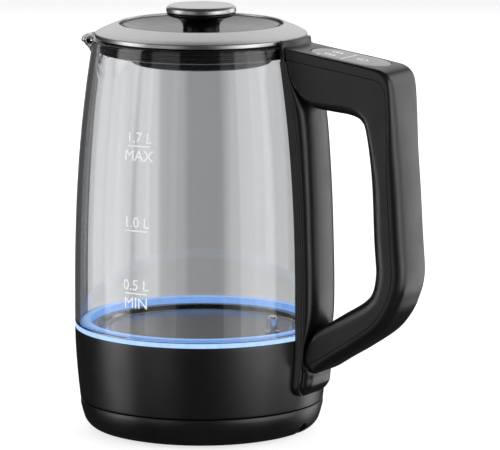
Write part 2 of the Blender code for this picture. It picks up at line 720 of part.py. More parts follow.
def top_height(x):
    """Height of the handle's sloping top over the distance from the axis."""
    return RIM_Z - 0.3 - TOP_SLOPE * (x - BODY_RADIUS + 8.9)


def back_line():
    """The handle's outside in side view, from the rim, round the back, to the foot."""
    start = BODY_RADIUS - 8.9
    end = BODY_RADIUS + HANDLE_DEPTH - 23
    corner = [
        upper_grip(14.5, 9.0), upper_grip(9.5, 13), upper_grip(7.5, 19), upper_grip(5.8, 38),
        upper_grip(3.5, 70), upper_grip(1.4, 106),
        lower_grip(0.0, 45), lower_grip(2.4, 31), lower_grip(7.2, 20), lower_grip(16, 9),
        lower(35.4, -1.9), lower(17.1, -13.2), lower(9.1, -18.7),
    ]
    return smooth_line([(start, top_height(start)), (end, top_height(end))] + corner, 2)


def grip_line():
    """The handle's inside in side view, from the foot, up the finger gap, to the rim."""
    arm = [lower(10.3, 7.6), lower(19.4, 13.1), lower(29.9, 19.7)]
    arm += [lower_grip(27.7, 25.2), lower_grip(22.5, 30.3)]
    grip = [lower_grip(19.9, 35.2), lower_grip(19.1, 44), upper_grip(20.5, 106), upper_grip(22.5, 65.5)]
    top = [upper_grip(24, 53), upper_grip(25.7, 44), upper_grip(28.5, 39.5)]
    top += [upper_grip(35, 36.3), upper(8.7, 34.1)]
    return smooth_line(arm + grip + top, 2)


def foot_edge():
    """The edge of the lower arm that lies on the spine, from bottom to top."""
    return [lower(2.4, -17), lower(2.8, -7.7), lower(5.9, 1.1)]


def arm_edge():
    """The edge of the upper arm that lies on the spine and the glass, from bottom to top."""
    return [upper(-0.3, 28.5), upper(-7.5, 13)]


def cavity_outline():
    back = offset_line(back_line(), HANDLE_WALL)
    grip = offset_line(grip_line(), HANDLE_WALL)
    keep_back = back[(back[:, 0] > BODY_RADIUS + 14) | (back[:, 1] > RIM_Z - 15)]
    keep_grip = grip[grip[:, 0] > BODY_RADIUS + 11]
    arm = [upper(2.4, 26.5), upper(-4.9, 12.4)]
    return [tuple(p) for p in np.vstack([keep_back[1:], keep_grip, arm, top_point(-4.9, HANDLE_WALL)])]


def top_point(out, depth):
    """A point this far below the handle's top."""
    x = BODY_RADIUS + out
    return x, top_height(x) - depth


def split_line(distance):
    """Where the outer cover meets the inner shell on the handle's sides."""
    line = offset_line(back_line(), distance)
    return np.vstack([top_point(-7.0, distance), line[1:]])


def handle_cavity():
    return side_outline("handle_cavity", cavity_outline(), HANDLE_WIDTH - 2 * HANDLE_WALL, None, KETTLE)


def cable_hole():
    x0, x1 = BODY_RADIUS - 15, BODY_RADIUS + 16.7
    return lying_rod("cable_hole", CABLE_HOLE_RADIUS, x0, x1, 0, CABLE_Z, None, KETTLE)


def handle_screw_spots():
    return [(side * HANDLE_SCREW_SPREAD, HANDLE_SCREW_Z) for side in (-1, 1)]


def handle_screw_holes():
    x = BODY_RADIUS
    return [
        lying_rod("handle_screw_hole", SCREW_SHANK_RADIUS + GAP, x - 12, x + 3.6, y, z, None, KETTLE)
        for y, z in handle_screw_spots()
    ]


def handle_screws():
    for number, (y, z) in enumerate(handle_screw_spots(), 1):
        wall = math.sqrt((housing_radius(z) - HOUSING_WALL - GAP) ** 2 - (abs(y) + SCREW_HEAD_RADIUS) ** 2)
        neck = wall - GAP
        length = BODY_RADIUS + 3.3 - neck
        lying = screw(f"handle_screw_{number}", 0, (0, 0), SCREW_STEEL, KETTLE, length)
        lying.rotation_euler = (0, math.pi / 2, 0)
        lying.location = ((neck - SCREW_HEAD_HEIGHT) * MM, y * MM, z * MM)


def collar_cutter():
    foot = COLLAR_TOP_Z - COLLAR_DEPTH - GAP
    radius = RIM_RADIUS + GAP + COLLAR_WALL + GAP + 1.2
    return rod("collar_room", radius, foot, COLLAR_TOP_Z + 20, None, KETTLE, steps=FINE_STEPS)


def handle_outer_cover():
    points = [tuple(p) for p in np.vstack([back_line(), split_line(COVER_WRAP)[::-1]])]
    cover = side_outline("handle_outer_cover", points, HANDLE_WIDTH, BLACK_PLASTIC, KETTLE)
    for cutter in (handle_cavity(), collar_cutter(), cable_hole(), panel_shape("panel_room", GAP, -8, 3)):
        boolean(cover, cutter)


def handle_inner_shell():
    outline = [split_line(COVER_WRAP + GAP), foot_edge(), grip_line(), arm_edge()]
    points = [tuple(p) for p in np.vstack(outline)]
    shell = side_outline("handle_inner_shell", points, HANDLE_WIDTH, BLACK_PLASTIC, KETTLE)
    for cutter in (handle_cavity(), collar_cutter(), body_envelope("body_room", GAP), cable_hole()):
        boolean(shell, cutter)


def handle_spine():
    """The upright strip between glass and handle, with the block under the lower arm."""
    outside = [upper(-8.0, 8.6), upper(-8.0, 12.9), upper(-2.9, 23.7), upper(-0.6, 28.9)]
    outside += [upper(SPINE_PROUD - 5.3, 31.4), upper(SPINE_PROUD - 5.4, 38)]
    outside += [upper(SPINE_PROUD - 3.7, 51), upper(SPINE_PROUD - 1.4, 88), upper(SPINE_PROUD - 0.6, 112)]
    outside += [lower(SPINE_PROUD, 35), lower(SPINE_PROUD - 0.3, 16), lower(SPINE_PROUD - 0.4, 7.4)]
    outside += [lower(5.4, 1.2), lower(2.4, -7.6), lower(2.0, -17.2), lower(2.0, -19.1)]
    outside += [lower(6.6, -19.1), lower(6.1, -22), lower(5.5, -26.4), lower(3.8, -29.6), lower(0.7, -32.7)]
    points = [upper(-16, 8.6)] + outside + [lower(-16, -32.7)]
    spine = side_outline("handle_spine", points, SPINE_WIDTH, BLACK_PLASTIC, KETTLE)
    for cutter in (body_envelope("spine_room", GAP), cable_hole(), *handle_screw_holes()):
        boolean(spine, cutter)


def rim_collar():
    """The upstand of the handle's top that follows the rim of the glass."""
    inner = RIM_RADIUS + 1.4
    wall = ring(
        "rim_collar", inner, RIM_RADIUS + GAP + COLLAR_WALL + 1.2, COLLAR_TOP_Z - COLLAR_DEPTH,
        COLLAR_TOP_Z, BLACK_PLASTIC, KETTLE, FINE_STEPS,
    )
    far, half = 2 * BODY_RADIUS, COLLAR_WIDTH / 2
    sector = block("collar_sector", (0, -half, 0), (far, half, COLLAR_TOP_Z + 20), None, KETTLE)
    boolean(wall, sector, "INTERSECT")
    boolean(wall, body_envelope("collar_glass_room", GAP))


def on_the_slope(x):
    """The frame on the handle's top at this distance from the axis: X along it, Z out of it."""
    tilt = Matrix.Rotation(math.atan(TOP_SLOPE), 4, "Y")
    return Matrix.Translation((x * MM, 0, top_height(x) * MM)) @ tilt


def panel_shape(name, grow, z0, z1, finish=None):
    """A plate with two round ends, lying on the handle's top."""
    half = (PANEL_X[1] - PANEL_X[0]) / 2 - PANEL_RADIUS
    turn = np.linspace(-math.pi / 2, math.pi / 2, 9)
    radius = PANEL_RADIUS + grow
    right = [(half + radius * math.cos(a), radius * math.sin(a)) for a in turn]
    left = [(-half - radius * math.cos(a), -radius * math.sin(a)) for a in turn]
    place = on_the_slope(sum(PANEL_X) / 2) @ Matrix.Translation((0, 0, (z0 + z1) / 2 * MM))
    return curve_to_part(name, outline_curve(right + left, (z1 - z0) / 2), place, finish, KETTLE)


def sloping_block(name, x, size, top, finish):
    length, width, height = size
    obj = block(name, (-length / 2, -width / 2, top - height), (length / 2, width / 2, top), finish, KETTLE)
    obj.matrix_local = on_the_slope(x)


def handle_controls():
    middle = sum(PANEL_X) / 2
    panel_shape("touch_panel", 0, -PANEL_THICKNESS, 0, PANEL_GREY)
    display_top = -PANEL_THICKNESS - GAP
    sloping_block("display_module", DISPLAY_X, DISPLAY_SIZE, display_top, GREY_PLASTIC)
    board_top = display_top - DISPLAY_SIZE[2] - GAP
    sloping_block("control_board", middle, CONTROL_BOARD_SIZE, board_top, BOARD_GREEN)


def handle_cable():
    """From the control board, down inside the grip, through the foot and onto the power board."""
    route = [
        upper_grip(33, 19.5), upper_grip(22, 25), upper_grip(14.5, 38), upper_grip(12.5, 70),
        lower_grip(10.0, 50), lower_grip(11, 38), lower_grip(16, 27), lower(36, 9), lower(22, -4.3),
        lower(12, -9), lower(0, -9), lower(-10, -9.5), lower(-17, -15), lower(-19, -24), lower(-19, -28.3),
    ]
    line = smooth_line(route, 2)
    pipe("handle_cable", [(x, 0, z) for x, z in line], CABLE_RADIUS, RUBBER)


# ---------------------------------------------------------------- lid


def lid_shell():
    """Ring and dish of the lid's top, the body that carries them, and the cup that closes it."""
    sheet = LID_SHEET
    ring_profile = [
        (LID_RING_INNER_RADIUS, LID_CROWN_Z),
        (LID_EDGE_RADIUS - 0.6, LID_EDGE_Z),
        (LID_EDGE_RADIUS, LID_EDGE_Z - 0.6),
        (LID_EDGE_RADIUS, RIM_Z + 3 * GAP),
        (LID_EDGE_RADIUS - sheet, RIM_Z + 3 * GAP),
        (LID_EDGE_RADIUS - sheet, LID_EDGE_Z - sheet),
        (LID_RING_INNER_RADIUS + sheet, LID_CROWN_Z - 1.4 * sheet),
        (LID_RING_INNER_RADIUS + sheet, LID_CROWN_Z - 3),
        (LID_RING_INNER_RADIUS, LID_CROWN_Z - 3),
    ]
    turned("lid_ring", ring_profile, BRUSHED_STEEL, LID)
    stem_hole = STEM_RADIUS + GAP
    dish_profile = [
        (stem_hole, DISH_CENTRE_Z),
        (DISH_RADIUS * 0.6, DISH_CENTRE_Z + 1.2),
        (DISH_RADIUS, DISH_EDGE_Z),
        (DISH_RADIUS, DISH_EDGE_Z - 2),
        (DISH_RADIUS * 0.6, DISH_CENTRE_Z + 1.2 - sheet),
        (stem_hole, DISH_CENTRE_Z - sheet),
    ]
    turned("lid_dish", dish_profile, GREY_PLASTIC, LID)
    top = DISH_CENTRE_Z - sheet - GAP
    wall = PLUG_RADIUS - 4.5
    body_profile = [
        (SCREW_SHANK_RADIUS + GAP, top),
        (DISH_RADIUS + GAP, top),
        (DISH_RADIUS + GAP, DISH_EDGE_Z - 1),
        (LID_RING_INNER_RADIUS - GAP, DISH_EDGE_Z - 1),
        (LID_RING_INNER_RADIUS - GAP, top),
        (PLUG_RADIUS + 1, top),
        (PLUG_RADIUS + 1, top - 1.8),
        (wall + 2, top - 1.8),
        (wall + 2, PLUG_BOTTOM_Z + 2),
        (wall, PLUG_BOTTOM_Z + 2),
        (wall, top - 1.8),
        (SCREW_SHANK_RADIUS + GAP, top - 1.8),
    ]
    turned("lid_body", body_profile, BLACK_PLASTIC, LID)
    cup_top = PLUG_BOTTOM_Z + 4.5
    cup_profile = [
        (0, cup_top - 2),
        (CUP_RADIUS - 4, cup_top - 2),
        (wall - GAP, cup_top),
        (wall - GAP, PLUG_BOTTOM_Z + 1),
        (CUP_RADIUS, PLUG_BOTTOM_Z),
        (CUP_RADIUS - 1.5, CUP_BOTTOM_Z + 0.6),
        (CUP_RADIUS - 4, CUP_BOTTOM_Z),
        (0, CUP_BOTTOM_Z),
    ]
    turned("lid_inner_cup", cup_profile, BLACK_PLASTIC, LID, INNER_STEPS)


def lid_seal():
    """The silicone sleeve round the plug, with ribs that press on the glass."""
    inner = PLUG_RADIUS - 2.5 + GAP
    top = DISH_CENTRE_Z - LID_SHEET - 2 * GAP - 1.8
    pitch = (top - PLUG_BOTTOM_Z) / PLUG_RIBS
    outside = []
    for rib in range(PLUG_RIBS):
        z = top - rib * pitch
        outside += [(PLUG_RADIUS, z), (PLUG_RADIUS + PLUG_RIB, z - 0.4 * pitch)]
        outside.append((PLUG_RADIUS, z - 0.8 * pitch))
    profile = [(inner, top)] + outside + [(inner, outside[-1][1])]
    turned("lid_seal", profile, RUBBER, LID)


def knob():
    foot = DISH_CENTRE_Z - LID_SHEET
    neck = LID_CROWN_Z
    bore = SCREW_SHANK_RADIUS + GAP
    cup_top = KNOB_FOOT_Z - GAP
    stem_profile = [
        (0, cup_top),
        (KNOB_RADIUS - 0.3, cup_top),
        (KNOB_RADIUS - 1.3, neck + 4),
        (STEM_RADIUS + 4.4, neck + 3),
        (STEM_RADIUS + 0.6, neck),
        (STEM_RADIUS, neck - 0.6),
        (STEM_RADIUS, foot),
        (bore, foot),
        (bore, foot + 8),
        (0, foot + 8),
    ]
    turned("knob_stem", stem_profile, BLACK_PLASTIC, LID)
    disc_profile = [
        (0, KNOB_TOP_Z),
        (KNOB_RADIUS - 1.4, KNOB_TOP_Z),
        (KNOB_RADIUS, KNOB_TOP_Z - 1.4),
        (KNOB_RADIUS, KNOB_FOOT_Z),
        (0, KNOB_FOOT_Z),
    ]
    turned("knob_disc", disc_profile, BRUSHED_STEEL, LID)
    neck_z = DISH_CENTRE_Z - LID_SHEET - GAP - 1.8 - GAP
    screw("knob_screw", neck_z - SCREW_HEAD_HEIGHT, (0, 0), SCREW_STEEL, LID)


clear_scene()
PARTS = collection("glass_kettle")
CUTTERS = collection("cutters")
BASE = axis_empty("power base axis")
KETTLE = axis_empty("kettle axis")
LID = axis_empty("lid axis")

BLACK_PLASTIC = material("black plastic", (0.012, 0.012, 0.014), 0.38)
GREY_PLASTIC = material("grey plastic", (0.16, 0.16, 0.165), 0.4)
SMOKED_GLASS = material("smoked glass", (0.35, 0.36, 0.37), 0.03, transmission=0.9)
BRUSHED_STEEL = material("brushed steel", (0.55, 0.55, 0.56), 0.28, 1.0)
STEEL = material("steel", (0.45, 0.45, 0.46), 0.3, 1.0)
SCREW_STEEL = material("screw steel", (0.3, 0.3, 0.31), 0.35, 1.0)
ALUMINIUM = material("aluminium", (0.6, 0.6, 0.61), 0.45, 1.0)
BRASS = material("brass", (0.6, 0.42, 0.15), 0.3, 1.0)
RUBBER = material("rubber", (0.03, 0.03, 0.033), 0.7)
LIT_DIFFUSER = material("lit diffuser", (0.45, 0.68, 1.0), 0.3, glow=3.0)
BOARD_GREEN = material("circuit board", (0.02, 0.16, 0.06), 0.5)
PANEL_GREY = material("panel grey", (0.2, 0.2, 0.21), 0.2)

for make in (
    base_shell, base_bottom_cover, base_feet_and_screws, base_connector, kettle_coupler,
    lower_housing, housing_bottom_cover, power_electronics, light_ring_and_seal, heating_plate,
    temperature_probe, heater, glass_body, handle_spine, handle_inner_shell, handle_outer_cover,
    rim_collar, handle_controls, handle_cable, handle_screws, lid_shell, lid_seal, knob,
):
    make()
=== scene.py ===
"""Looks for the glass kettle on its power base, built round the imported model.

Shapes are numpy surfaces in millimetres about the kettle's upright axis, with +X towards the handle;
grid_piece turns them into metres in the frame's own place. Most are profiles turned about the axis,
the glass is a turned wall with a spout function added, and the handle is a rounded section carried
between an outer and an inner line.
"""

import math

import bmesh
import bpy
import numpy as np
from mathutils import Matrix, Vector


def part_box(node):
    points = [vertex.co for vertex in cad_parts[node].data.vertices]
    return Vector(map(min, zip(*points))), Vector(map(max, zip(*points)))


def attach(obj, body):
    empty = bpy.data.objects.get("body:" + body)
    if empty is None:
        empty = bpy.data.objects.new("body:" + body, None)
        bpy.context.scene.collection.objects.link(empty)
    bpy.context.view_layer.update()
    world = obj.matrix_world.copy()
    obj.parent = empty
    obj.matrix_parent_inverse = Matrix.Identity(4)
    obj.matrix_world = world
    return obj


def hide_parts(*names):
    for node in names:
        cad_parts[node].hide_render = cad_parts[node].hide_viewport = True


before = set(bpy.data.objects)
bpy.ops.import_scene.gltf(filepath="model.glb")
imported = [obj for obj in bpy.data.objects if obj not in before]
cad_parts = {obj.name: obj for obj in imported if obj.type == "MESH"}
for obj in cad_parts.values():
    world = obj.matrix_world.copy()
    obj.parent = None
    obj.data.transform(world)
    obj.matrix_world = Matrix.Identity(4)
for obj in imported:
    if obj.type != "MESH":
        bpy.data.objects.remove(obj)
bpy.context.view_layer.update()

MM = 0.001
TURN = 192  # steps round a large turned piece


# ------------------------ sizes read from the frame


def axis_place():
    """Where the kettle's upright axis stands along X, in metres: the middle of the lid's ring."""
    low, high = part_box("lid_ring")
    return (low.x + high.x) / 2


AXIS = axis_place()


def span(node):
    """Radius, lowest and highest height of a turned node, in millimetres."""
    low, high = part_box(node)
    return (high.y - low.y) / 2 / MM, low.z / MM, high.z / MM


def reach(node, side):
    """How far a node goes from the axis along X, towards the handle (1) or the spout (-1)."""
    low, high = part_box(node)
    return (high.x - AXIS) / MM if side > 0 else (AXIS - low.x) / MM


BODY_RADIUS, HOUSING_FOOT, HOUSING_TOP = span("lower_housing")
_, GLASS_FOOT, RIM = span("glass_body")
BASE_RADIUS, BASE_FLOOR, BASE_TOP = span("base_shell")
LID_EDGE, _, LID_CROWN = span("lid_ring")
SPOUT_REACH = reach("glass_body", -1)
HANDLE_DEPTH = reach("handle_outer_cover", 1) - BODY_RADIUS
HANDLE_WIDTH = 2 * span("handle_outer_cover")[0]

GLASS_WALL = 3.0
RIM_RADIUS = 62.8
GLASS_TURN = 73.0  # height where the glass starts to lean in
LEAN_POWER = 2.36
HOUSING_TAPER = 3.0  # how much narrower the housing's foot is than its top
SEAM = 0.35  # gap between two mouldings
SEAM_TUCK = 0.5  # how far a moulding's edge turns in at a seam


def glass_radius(z):
    """Outer radius of the glass: the body radius less a power of the height above the turn."""
    up = np.clip((z - GLASS_TURN) / (RIM - GLASS_TURN), 0, 1)
    return BODY_RADIUS - (BODY_RADIUS - RIM_RADIUS) * up**LEAN_POWER


def housing_radius(z):
    """Outer radius of the housing: the body radius less a power of the depth under its top edge."""
    down = np.clip((HOUSING_TOP - z) / (HOUSING_TOP - HOUSING_FOOT), 0, 1)
    return BODY_RADIUS - HOUSING_TAPER * down**1.7


def body_radius(z):
    """Outer radius of the kettle: the housing's up to its top edge, and the glass's above it."""
    return np.where(z < HOUSING_TOP, housing_radius(z), glass_radius(z))


# ------------------------ meshes from grids


def in_frame(points):
    """Points in millimetres about the axis, as rows of metres in the frame's own place."""
    return points.reshape(-1, 3) * MM + np.array([AXIS, 0, 0])


def new_object(name, data):
    obj = bpy.data.objects.new(name, data)
    bpy.context.scene.collection.objects.link(obj)
    return obj


def grid_faces(rows, columns, wrap_rows, wrap_columns):
    """Quads of a grid, as an array of four point numbers each."""
    i = np.arange(rows if wrap_rows else rows - 1)[:, None]
    j = np.arange(columns if wrap_columns else columns - 1)[None, :]
    i2, j2 = (i + 1) % rows, (j + 1) % columns
    quads = np.stack([i * columns + j, i * columns + j2, i2 * columns + j2, i2 * columns + j], axis=-1)
    return quads.reshape(-1, 4)


def grid_piece(name, points, body, replaced, finish, wrap_rows=False, wrap_columns=False,
               caps=False, sharp=38, wall=0.0):
    """A piece from a grid of points (rows, columns, 3) in millimetres about the axis.

    Ends may be capped, poles and seams are welded, and faces are turned outwards. A wall over
    zero thickens an open sheet inwards.
    """
    rows, columns, _ = points.shape
    quads = grid_faces(rows, columns, wrap_rows, wrap_columns)
    mesh = bpy.data.meshes.new(name)
    mesh.from_pydata(in_frame(points).tolist(), [], quads.tolist())
    build = bmesh.new()
    build.from_mesh(mesh)
    if caps:
        build.verts.ensure_lookup_table()
        for start in (0, (rows - 1) * columns):
            build.faces.new([build.verts[start + j] for j in range(columns)])
    bmesh.ops.remove_doubles(build, verts=build.verts, dist=2e-7)
    bmesh.ops.dissolve_degenerate(build, dist=1e-8, edges=build.edges)
    bmesh.ops.recalc_face_normals(build, faces=build.faces)
    build.to_mesh(mesh)
    build.free()
    obj = new_object(name, mesh)
    if wall:
        turn_outwards(mesh, (points - points.mean(axis=1, keepdims=True)).reshape(-1, 3))
        thicken(obj, wall)
    elif signed_volume(mesh) < 0:
        mesh.flip_normals()
    return finish_piece(obj, body, replaced, finish, sharp)


def turn_outwards(mesh, outward):
    """Flips an open sheet whose normals point against the outward directions of its points."""
    normals = np.empty(len(mesh.vertices) * 3)
    mesh.vertex_normals.foreach_get("vector", normals)
    if len(mesh.vertices) == len(outward) and np.sum(normals.reshape(-1, 3) * outward) < 0:
        mesh.flip_normals()


def thicken(obj, wall):
    """Gives an open sheet a wall of this thickness, on its inner side."""
    shell = obj.modifiers.new("wall", "SOLIDIFY")
    shell.thickness = wall * MM
    shell.offset = -1
    shell.use_even_offset = True


def signed_volume(mesh):
    """Six times the volume, from the triple products of the triangles: under zero when inside out."""
    mesh.calc_loop_triangles()
    corners = np.empty(len(mesh.loop_triangles) * 3, np.int32)
    mesh.loop_triangles.foreach_get("vertices", corners)
    points = np.empty(len(mesh.vertices) * 3)
    mesh.vertices.foreach_get("co", points)
    a, b, c = points.reshape(-1, 3)[corners.reshape(-1, 3)].transpose(1, 0, 2)
    return np.einsum("ij,ij->i", a, np.cross(b, c)).sum()


def finish_piece(obj, body, replaced, finish, sharp=38):
    """Material, smooth shading up to the sharp angle, a place under its body's empty, and the replaced parts
    hidden.
    """
    obj.data.materials.append(finish)
    obj.data.shade_smooth()
    obj.data.set_sharp_from_angle(angle=math.radians(sharp))
    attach(obj, body)
    if replaced:
        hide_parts(*replaced)
    return obj


def rounded(corners, closed=True, steps=5):
    """A line through (r, z, radius) corners, each corner with a radius turned into an arc.

    The arc is a quadratic curve from the point where the rounding starts to where it ends, which
    lies the radius away from the corner along both sides, or less on a short side.
    """
    pts = np.array([c[:2] for c in corners], float)
    radii = np.array([c[2] if len(c) > 2 else 0.0 for c in corners])
    before, after = np.roll(pts, 1, axis=0), np.roll(pts, -1, axis=0)
    back, ahead = before - pts, after - pts
    back_length = np.maximum(np.linalg.norm(back, axis=1), 1e-9)
    ahead_length = np.maximum(np.linalg.norm(ahead, axis=1), 1e-9)
    cut = np.minimum(radii, 0.45 * np.minimum(back_length, ahead_length))
    if not closed:
        cut[0] = cut[-1] = 0
    start = pts + back * (cut / back_length)[:, None]
    end = pts + ahead * (cut / ahead_length)[:, None]
    t = np.linspace(0, 1, steps)[None, :, None]
    arc = (1 - t) ** 2 * start[:, None] + 2 * t * (1 - t) * pts[:, None] + t**2 * end[:, None]
    line = []
    for row, size in zip(arc, cut):
        line.extend(row if size > 0 else row[:1])
    return np.array(line)


def spline(points, steps):
    """A Catmull-Rom curve through rows of numbers, with this many steps between each two."""
    p = np.array(points, float)
    p = np.vstack([2 * p[0] - p[1], p, 2 * p[-1] - p[-2]])
    t = np.linspace(0, 1, steps, endpoint=False)[:, None]
    runs = [
        0.5 * (2 * b + (c - a) * t + (2 * a - 5 * b + 4 * c - d) * t**2 + (3 * b - a - 3 * c + d) * t**3)
        for a, b, c, d in zip(p, p[1:], p[2:], p[3:])
    ]
    return np.vstack(runs + [p[-2:-1]])


def turned(name, profile, body, replaced, finish, spot=(0, 0), steps=TURN):
    """A closed profile of (r, z) turned about the upright line through spot: (r cos a, r sin a, z)."""
    angle = np.arange(steps) * 2 * math.pi / steps
    r, z = profile[:, 0, None], profile[:, 1, None]
    points = np.stack([spot[0] + r * np.cos(angle), spot[1] + r * np.sin(angle), z + 0 * angle], axis=-1)
    on_axis = profile[0, 0] < 1e-6 and profile[-1, 0] < 1e-6
    return grid_piece(name, points, body, replaced, finish, not on_axis, True)


def cut_away(obj, cutter):
    """Takes the cutter's shape out of the piece for good, and removes the cutter."""
    step = obj.modifiers.new("cut", "BOOLEAN")
    step.operation = "DIFFERENCE"
    step.object = cutter
    step.solver = "EXACT"
    bpy.context.view_layer.update()
    cut = bpy.data.meshes.new_from_object(obj.evaluated_get(bpy.context.evaluated_depsgraph_get()))
    obj.modifiers.clear()
    obj.data = cut
    bpy.data.objects.remove(cutter)


def cutter_between(name, points):
    """A closed bar between two outlines (2, columns, 3), capped at both ends and facing outwards."""
    columns = points.shape[1]
    caps = [list(range(columns)), list(range(2 * columns - 1, columns - 1, -1))]
    mesh = bpy.data.meshes.new(name)
    mesh.from_pydata(in_frame(points).tolist(), [], grid_faces(2, columns, False, True).tolist() + caps)
    if signed_volume(mesh) < 0:
        mesh.flip_normals()
    return new_object(name, mesh)


# ------------------------ materials


class Nodes:
    """A new material with a few short ways to add and join nodes."""

    def __init__(self, name):
        self.material = bpy.data.materials.new(name)
        self.material.use_nodes = True
        self.tree = self.material.node_tree
        self.shader = self.tree.nodes["Principled BSDF"]
        self.coords = self.add("ShaderNodeTexCoord").outputs["Object"]

    def add(self, kind, **settings):
        node = self.tree.nodes.new(kind)
        for key, value in settings.items():
            setattr(node, key, value)
        return node

    def join(self, source, target):
        self.tree.links.new(source, target)

    def feed(self, name, source):
        self.join(source, self.shader.inputs[name])

    def set(self, **values):
        for key, value in values.items():
            self.shader.inputs[key.replace("_", " ")].default_value = value

    def noise(self, scale, detail):
        node = self.add("ShaderNodeTexNoise")
        node.inputs["Scale"].default_value = scale
        node.inputs["Detail"].default_value = detail
        self.join(self.coords, node.inputs["Vector"])
        return node.outputs["Fac"]

    def range(self, source, low, high, from_low=0.3, from_high=0.7):
        node = self.add("ShaderNodeMapRange")
        self.join(source, node.inputs["Value"])
        limits = {"From Min": from_low, "From Max": from_high, "To Min": low, "To Max": high}
        for key, value in limits.items():
            node.inputs[key].default_value = value
        return node.outputs["Result"]

    def ramp(self, source, stops):
        node = self.add("ShaderNodeValToRGB")
        elements = node.color_ramp.elements
        while len(elements) < len(stops):
            elements.new(0.5)
        for element, (at, colour) in zip(elements, stops):
            element.position = at
            element.color = (*colour, 1)
        self.join(source, node.inputs["Fac"])
        return node.outputs["Color"]

    def bump(self, height, strength, distance):
        node = self.add("ShaderNodeBump")
        node.inputs["Strength"].default_value = strength
        node.inputs["Distance"].default_value = distance
        self.join(height, node.inputs["Height"])
        self.join(node.outputs["Normal"], self.shader.inputs["Normal"])

    def from_axis(self):
        """Distance from the kettle's axis, in metres."""
        moved = self.add("ShaderNodeMapping")
        moved.inputs["Location"].default_value = (-AXIS, 0, 0)
        moved.inputs["Scale"].default_value = (1, 1, 0)
        self.join(self.coords, moved.inputs["Vector"])
        length = self.add("ShaderNodeVectorMath", operation="LENGTH")
        self.join(moved.outputs["Vector"], length.inputs[0])
        return length.outputs["Value"]


def moulded_plastic(name, dark, light, rough_low, rough_high, grain=2600, strength=0.12, coat=0.0,
                    specular=0.5):
    """Spark-eroded moulded plastic: a fine even grain, with slow changes of gloss and tone."""
    n = Nodes(name)
    n.feed("Base Color", n.ramp(n.noise(38, 4), [(0.35, dark), (0.65, light)]))
    n.feed("Roughness", n.range(n.noise(55, 3), rough_low, rough_high))
    n.bump(n.noise(grain, 2), strength, 0.00006)
    n.set(Coat_Weight=coat, Coat_Roughness=0.12, Specular_IOR_Level=specular)
    return n.material


def turned_steel(name, tone, rough_low, rough_high, lines=5200, strength=0.08, rim=None):
    """Steel brushed in circles round the axis: fine rings of noise over the radius.

    A rim (from radius, to radius, tone) turns lighter outside those radii.
    """
    n = Nodes(name)
    radius = n.from_axis()
    rings = n.add("ShaderNodeTexNoise", noise_dimensions="1D")
    rings.inputs["Scale"].default_value = lines
    rings.inputs["Detail"].default_value = 4
    n.join(radius, rings.inputs["W"])
    light = tuple(min(1, c * 1.08) for c in tone)
    colour = n.ramp(rings.outputs["Fac"], [(0.3, tone), (0.7, light)])
    if rim:
        mix = n.add("ShaderNodeMix", data_type="RGBA")
        n.join(n.range(radius, 0, 1, rim[0], rim[1]), mix.inputs[0])
        n.join(colour, mix.inputs[6])
        mix.inputs[7].default_value = (*rim[2], 1)
        colour = mix.outputs[2]
    n.feed("Base Color", colour)
    n.feed("Roughness", n.range(rings.outputs["Fac"], rough_low, rough_high))
    n.bump(rings.outputs["Fac"], strength, 0.00002)
    n.set(Metallic=1.0)
    return n.material


def plain_metal(name, tone, rough_low, rough_high):
    """Metal with no direction in it: slow changes of tone over a fine change of gloss."""
    n = Nodes(name)
    light = tuple(min(1, c * 1.15) for c in tone)
    n.feed("Base Color", n.ramp(n.noise(140, 5), [(0.35, tone), (0.65, light)]))
    n.feed("Roughness", n.range(n.noise(400, 4), rough_low, rough_high))
    n.bump(n.noise(900, 3), 0.08, 0.00005)
    n.set(Metallic=1.0)
    return n.material


def smoked_glass():
    """Clear glass with a neutral grey tint and a trace of uneven polish."""
    n = Nodes("smoked_glass")
    n.set(Base_Color=(0.845, 0.85, 0.86, 1), IOR=1.46, Transmission_Weight=1.0)
    n.feed("Roughness", n.range(n.noise(30, 3), 0.0, 0.015))
    return n.material


def lit_plastic(name, low, high, stops, grain, weak, strong, base, rough):
    """Frosted plastic that glows: on the lit ring it is the ring's own light, on the seal it is painted
    light from the ring beside it; its colour runs between two distances from the axis, in metres.
    """
    n = Nodes(name)
    n.feed("Emission Color", n.ramp(n.range(n.from_axis(), 0, 1, low, high), stops))
    n.feed("Emission Strength", n.range(n.noise(grain, 2), weak, strong))
    n.set(Base_Color=(*base, 1), Roughness=rough)
    return n.material


def print_white_painted_glow():
    """Screen-printed ink, a little uneven in cover, given a weak emission that is painted light."""
    n = Nodes("print_white_painted_glow")
    n.feed("Base Color", n.ramp(n.noise(900, 3), [(0.3, (0.74, 0.75, 0.76)), (0.7, (0.84, 0.84, 0.85))]))
    n.feed("Roughness", n.range(n.noise(600, 2), 0.45, 0.6))
    # The emission is painted light: the ink glows though it is no lamp.
    n.set(Emission_Color=(0.9, 0.9, 0.92, 1), Emission_Strength=0.22)
    return n.material


def display_light():
    """The digits and signs that shine through the touch panel."""
    n = Nodes("display_light")
    n.feed("Emission Color", n.ramp(n.noise(500, 2), [(0.3, (0.8, 0.82, 0.84)), (0.7, (0.92, 0.93, 0.95))]))
    n.set(Base_Color=(0.7, 0.7, 0.72, 1), Emission_Strength=0.55, Roughness=0.4)
    return n.material


def circuit_board():
    """Solder mask with the faint squares of tracks under it."""
    n = Nodes("circuit_board")
    cells = n.add("ShaderNodeTexVoronoi", distance="CHEBYCHEV")
    cells.inputs["Scale"].default_value = 420
    n.join(n.coords, cells.inputs["Vector"])
    squares = cells.outputs["Distance"]
    n.feed("Base Color", n.ramp(squares, [(0.3, (0.01, 0.09, 0.035)), (0.5, (0.02, 0.15, 0.06))]))
    n.bump(squares, 0.2, 0.0001)
    n.set(Roughness=0.35)
    return n.material


